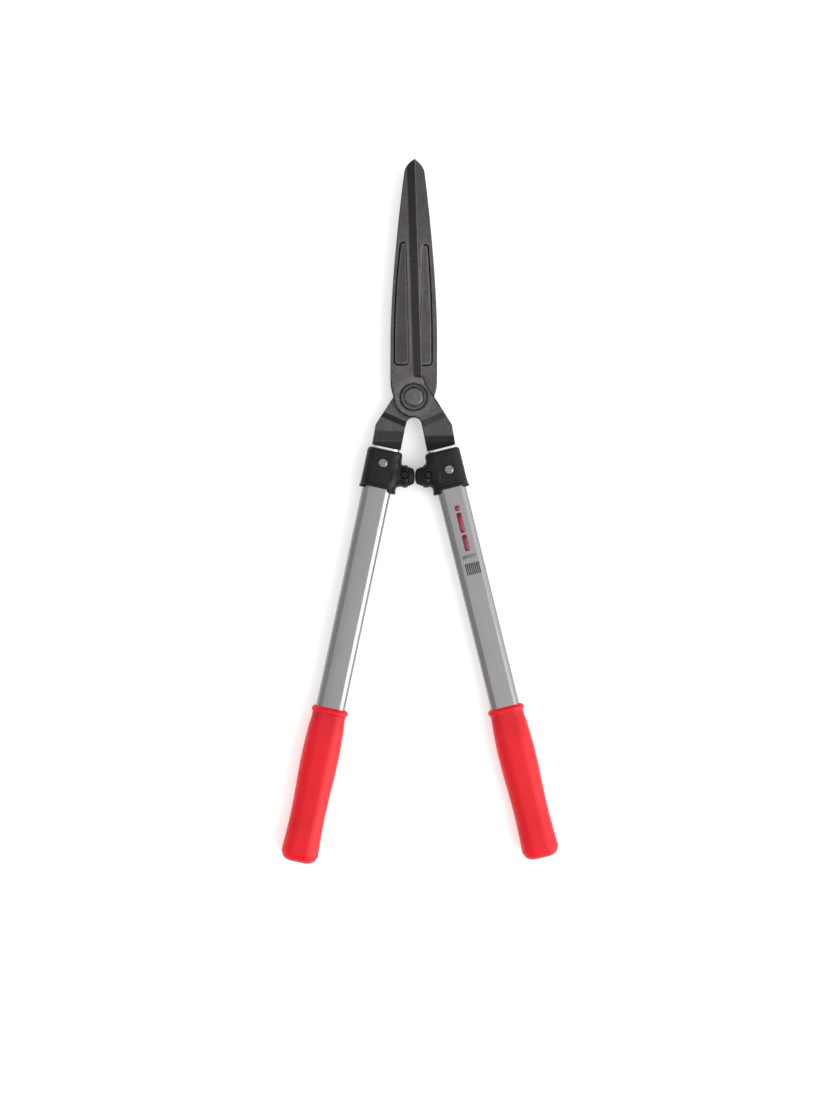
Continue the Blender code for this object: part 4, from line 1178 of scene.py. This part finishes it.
def buffer_field(handle):
    """Signed distance to a rubber buffer: domed head, foot ring, stem and lug."""
    edge = BUFFER_RADIUS

    def field(points):
        x, y, z = points[..., 0], points[..., 1], points[..., 2]
        out = -handle.side * (x - handle.boss_end)
        radius = np.hypot(y - handle.boss_y, z)
        reach = np.maximum(out - BUFFER_NECK, 0.0) / (handle.head - BUFFER_NECK)
        cap = ((reach ** 2.8 + (radius / edge) ** 2.8) ** (1 / 2.8) - 1) * edge
        cap = smooth_max(cap, 0.0003 - out, 0.0006)
        foot = smooth_max(radius - edge - 0.0009, np.abs(out - 0.0008) - 0.0012, 0.0008)
        cap = smooth_min(cap, foot, 0.0006)
        stem = smooth_max(radius - SOCKET_RADIUS + GAP, -out - SOCKET_DEPTH + GAP, 0.0010)
        stem = smooth_max(stem, out - 0.0020, 0.0006)
        whole = smooth_min(cap, stem, 0.0004)
        lug = np.hypot(y - handle.boss_y - LUG_SHIFT, -out - handle.lug) - LUG_RADIUS
        lug = smooth_max(lug, np.abs(z - LUG_TOP / 2) - LUG_TOP / 2, 0.0012)
        return smooth_min(whole, lug, 0.0005)

    return field


def make_buffer(handle):
    """The rubber buffer between the handles, its lug showing in the collar's window."""
    start = handle.boss_end - handle.side * (handle.head + 0.001)
    end = handle.boss_end + handle.side * (SOCKET_DEPTH + 0.0030)
    low = [min(start, end), handle.boss_y - 0.0100, -0.0100]
    high = [max(start, end), handle.boss_y + 0.0100, 0.0115]
    vertices, faces = surface_of(buffer_field(handle), low, high, BUFFER_GRID)
    name = handle.name + "_buffer"
    obj = make_piece(name + "_look", vertices, faces, Matrix.Translation((0, 0, MID_HEIGHT)))
    finish_piece(obj, handle.body, "black_rubber")


# ---- screws, tubes, grips
def make_collar_screw(handle):
    """A pan head with a pressed cross, and its shank."""
    name = handle.name + "_collar_screw"
    low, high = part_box(name)
    head = SCREW_HEAD_RADIUS
    under = high.z - 0.0027
    angle = around(SCREW_STEPS) - math.radians(SCREW_TURN)
    rings = turned_rings([(0.0, low.z), (0.0021, low.z), (0.0024, low.z + 0.0003),
                          (0.0024, under), (head - 0.00015, under), (head, under + 0.00015),
                          (head, under + 0.0006)], SCREW_STEPS)
    for radius in [*np.linspace(head, 0.0033, 10), *np.linspace(0.0031, 0.0, 19)]:
        x, y = np.abs(radius * np.cos(angle)), np.abs(radius * np.sin(angle))
        share = radius / head
        dome = high.z - 0.0003 * share ** 2 - 0.0015 * max(share - 0.72, 0.0) ** 2 / 0.0784
        arm = np.minimum(np.maximum(x / 0.0026, y / 0.00055),
                         np.maximum(y / 0.0026, x / 0.00055))
        cross = smooth((1.2 - arm) / 0.4) * 0.0011
        rings.append(polar_ring(radius, dome - cross, SCREW_STEPS))
    obj = skin(name + "_look", rings, place=Matrix.Translation((*handle.screw, 0.0)))
    finish_piece(obj, handle.body, "zinc_steel")


def make_collar_nut(handle):
    """The hexagon nut in the collar's pocket, turned with its handle."""
    name = handle.name + "_collar_nut"
    low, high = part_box(name)
    obj = nut_piece(name + "_look", NUT_FLATS, SCREW_HOLE_RADIUS, low.z, high.z)
    obj.matrix_world = Matrix.Translation((*handle.screw, 0.0)) @ Matrix.Rotation(
        math.radians(handle.slope * handle.side), 4, "Z")
    finish_piece(obj, handle.body, "zinc_steel")


def drill(obj, place, radius):
    """Cut a round hole up through an object, and keep its smooth shading."""
    cutter = skin("screw_hole_cutter", turned_rings(
        [(0.0, -TUBE_THICKNESS), (radius, -TUBE_THICKNESS), (radius, TUBE_THICKNESS),
         (0.0, TUBE_THICKNESS)], 32), place=place)
    obj.modifiers.new("Screw hole", "BOOLEAN").object = cutter
    mesh = bpy.data.meshes.new_from_object(
        obj.evaluated_get(bpy.context.evaluated_depsgraph_get()))
    obj.modifiers.clear()
    obj.data = mesh
    mesh.shade_smooth()
    mesh.set_sharp_from_angle(angle=math.radians(40.0))
    bpy.data.objects.remove(cutter)


def make_tube(handle):
    """The flat-oval extrusion with broken edges at its ends and the screw's hole."""
    length = handle.length
    rings = []
    for inset, distance in ((TUBE_BREAK, 0.0), (0.0, 0.0004), (0.0, 0.0010), (0.0, 0.0018),
                            (0.0, 0.0021), (0.0, length - 0.0010), (0.0, length - 0.0004),
                            (TUBE_BREAK, length), (TUBE_WALL, length), (TUBE_WALL, 0.0)):
        section = oval(TUBE_WIDTH - 2 * inset, TUBE_THICKNESS - 2 * inset, TUBE_CORNER - inset)
        rings.append(tube_ring(section, distance))
    name = handle.name + "_tube"
    obj = skin(name + "_look", rings, closed=True, place=handle.place)
    screw = handle.place.inverted() @ Vector((*handle.screw, MID_HEIGHT))
    drill(obj, handle.place @ Matrix.Translation((screw.x, screw.y, 0.0)), SCREW_HOLE_RADIUS)
    places = rows_of(vertex.co for vertex in obj.data.vertices)
    # the painted highlight's place: the tube's upper end
    paint(obj.data, "end_highlight", places[:, 1] > -TUBE_HIGHLIGHT_LENGTH)
    finish_piece(obj, handle.body, "tube_aluminium")


def curve_through(stations, column, place):
    """A smooth curve through one column of the stations (Catmull-Rom, held at its peak)."""
    index = max(i for i in range(len(stations) - 1) if stations[i][0] <= place)
    last = len(stations) - 1
    before, here, after, beyond = (stations[min(max(index + step, 0), last)]
                                   for step in (-1, 0, 1, 2))
    share = (place - here[0]) / (after[0] - here[0])
    span = after[0] - here[0]
    rise = (after[column] - before[column]) / max(after[0] - before[0], span) * span
    fall = (beyond[column] - here[column]) / max(beyond[0] - here[0], span) * span
    square, cube = share * share, share ** 3
    value = ((2 * cube - 3 * square + 1) * here[column] + (cube - 2 * square + share) * rise
             + (3 * square - 2 * cube) * after[column] + (cube - square) * fall)
    return min(value, max(station[column] for station in stations))


def grip_ring(distance, width, thickness):
    """One ring of the grip's outside, with a faint moulding seam at each side."""
    ring = tube_ring(oval(width, thickness, thickness * GRIP_FULLNESS, GRIP_STEPS), distance)
    ring[:, 0] += np.sign(ring[:, 0]) * GRIP_SEAM * bell(ring[:, 2], 0.0, 0.0004)
    return ring


def make_grip(handle):
    """The soft grip: a rolled bead, a palm swell, a waist and a flared, rounded end."""
    name = handle.name + "_grip"
    start = GRIP_STATIONS[0][0]
    bore = oval(TUBE_WIDTH + 2 * GAP, TUBE_THICKNESS + 2 * GAP, TUBE_CORNER + GAP, GRIP_STEPS)
    lip = oval(TUBE_WIDTH + 0.0014, TUBE_THICKNESS + 0.0014, TUBE_CORNER + 0.0007, GRIP_STEPS)
    rings = [tube_ring(bore, handle.length + GRIP_WALL_END),
             tube_ring(bore, start + 0.0004), tube_ring(lip, start)]
    last = GRIP_ENDS[handle.name] - GRIP_END_ROUND
    for place in [*np.linspace(start, GRIP_BEAD_END, 30),
                  *np.linspace(GRIP_BEAD_END, last, 90)[1:]]:
        clamped = min(place, GRIP_STATIONS[-1][0] - 1e-6)
        width, thickness = (curve_through(GRIP_STATIONS, column, clamped) for column in (1, 2))
        rings.append(grip_ring(place, width, thickness))
    for angle in np.radians(np.linspace(4, 90, 20)):
        distance = last + GRIP_END_ROUND * math.sin(angle)
        inset = 2 * GRIP_END_ROUND * (1 - math.cos(angle))
        inset += GRIP_STEP * float(rise(distance, last + 0.0012, 0.0008))
        rings.append(grip_ring(distance, width - inset, thickness - inset))
    obj = skin(name + "_look", rings, place=handle.place)
    finish_piece(obj, handle.body, "red_grip")


def make_handles():
    for handle in HANDLES.values():
        make_tube(handle)
        make_grip(handle)
        make_collar(handle)
        make_buffer(handle)
        make_collar_screw(handle)
        make_collar_nut(handle)


def make_print():
    """A plain printed pattern on the right tube: red bars, a grey band and dark lines."""
    handle = HANDLES["right"]
    marks = [(0.0008, along, 0.0050, length, "print_red")
             for along, length in ((0.0602, 0.0052), (0.0745, 0.0200), (0.0945, 0.0160))]
    marks.append((0.0011, 0.1080, 0.0140, 0.0032, "print_grey"))
    marks += [(0.0016 + (line - 3.5) * 0.0018, 0.1200, 0.0012, 0.0112, "print_dark")
              for line in range(8)]
    top = TUBE_THICKNESS / 2
    for number, (across, along, width, length, ink) in enumerate(marks, 1):
        outline = oval(width, length, min(width, length) * 0.3, 4)
        rings = [np.column_stack((across + outline[:, 0], outline[:, 1] - along,
                                  np.full(len(outline), top + height)))
                 for height in (-0.00003, 0.00005)]
        obj = skin(f"right_tube_print_{number}", rings, place=handle.place)
        dress(obj, INKS[ink])
        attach(obj, handle.body)


def dress_inner_pieces():
    """Give the inner pieces, whose CAD shapes stay, a moulded finish."""
    for name in HANDLES:
        for piece in ("tang_insert_front", "tang_insert_back", "tube_plug"):
            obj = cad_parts[f"{name}_{piece}"]
            dress(obj, LOOKS["grey_plastic"])


# ---- studio
def link(name, data, place):
    obj = bpy.data.objects.new(name, data)
    bpy.context.scene.collection.objects.link(obj)
    obj.location = place
    return obj


def flat_light(name, offset, lean, size, radiance, mirrored):
    """A softbox facing down, leaned about the long axis of the shears, of even radiance."""
    light = bpy.data.lights.new(name, "AREA")
    light.shape = "RECTANGLE"
    light.size, light.size_y = size
    light.energy = math.pi * size[0] * size[1] * radiance
    obj = link(name, light, VIEW_CENTRE + Vector(offset))
    obj.rotation_euler = (0.0, math.radians(lean), 0.0)
    obj.visible_camera = False
    obj.visible_glossy = mirrored


def make_studio():
    """White paper that glows a little, a dim white surrounding and the softboxes."""
    scene = bpy.context.scene
    scene.view_settings.view_transform = "Standard"
    scene.world = bpy.data.worlds.new("studio")
    scene.world.use_nodes = True
    background = scene.world.node_tree.nodes["Background"].inputs
    background["Color"].default_value = (1.0, 1.0, 1.0, 1.0)
    background["Strength"].default_value = 0.15
    bpy.ops.mesh.primitive_plane_add(size=12.0, location=(0.0, 0.0, -0.0002))
    floor = bpy.context.object
    floor.name = "studio_floor"
    paper = Look("studio_paper", 0.9, specular=0.1)
    paper.set({"Base Color": (0.76, 0.76, 0.76, 1.0), "Emission Color": (1.0, 1.0, 1.0, 1.0),
               "Emission Strength": 0.27})
    paper.bump((paper.noise(0.002, 2.0), 0.00002))
    floor.data.materials.append(paper.material)
    for light in LIGHTS:
        flat_light(*light)


def make_camera():
    """Straight above the shears, framed on the middle plane of the handles."""
    camera = bpy.data.cameras.new("camera")
    camera.lens = camera.sensor_width * CAMERA_DISTANCE / FRAME_HEIGHT
    camera.clip_start = 0.05
    above = Vector((0.0, 0.0, MID_HEIGHT + CAMERA_DISTANCE))
    bpy.context.scene.camera = link("camera", camera, VIEW_CENTRE + above)


# ---- all of it
make_blades()
make_pivot_bolt()
make_pivot_stack()
make_handles()
make_print()
dress_inner_pieces()
make_studio()
make_camera()
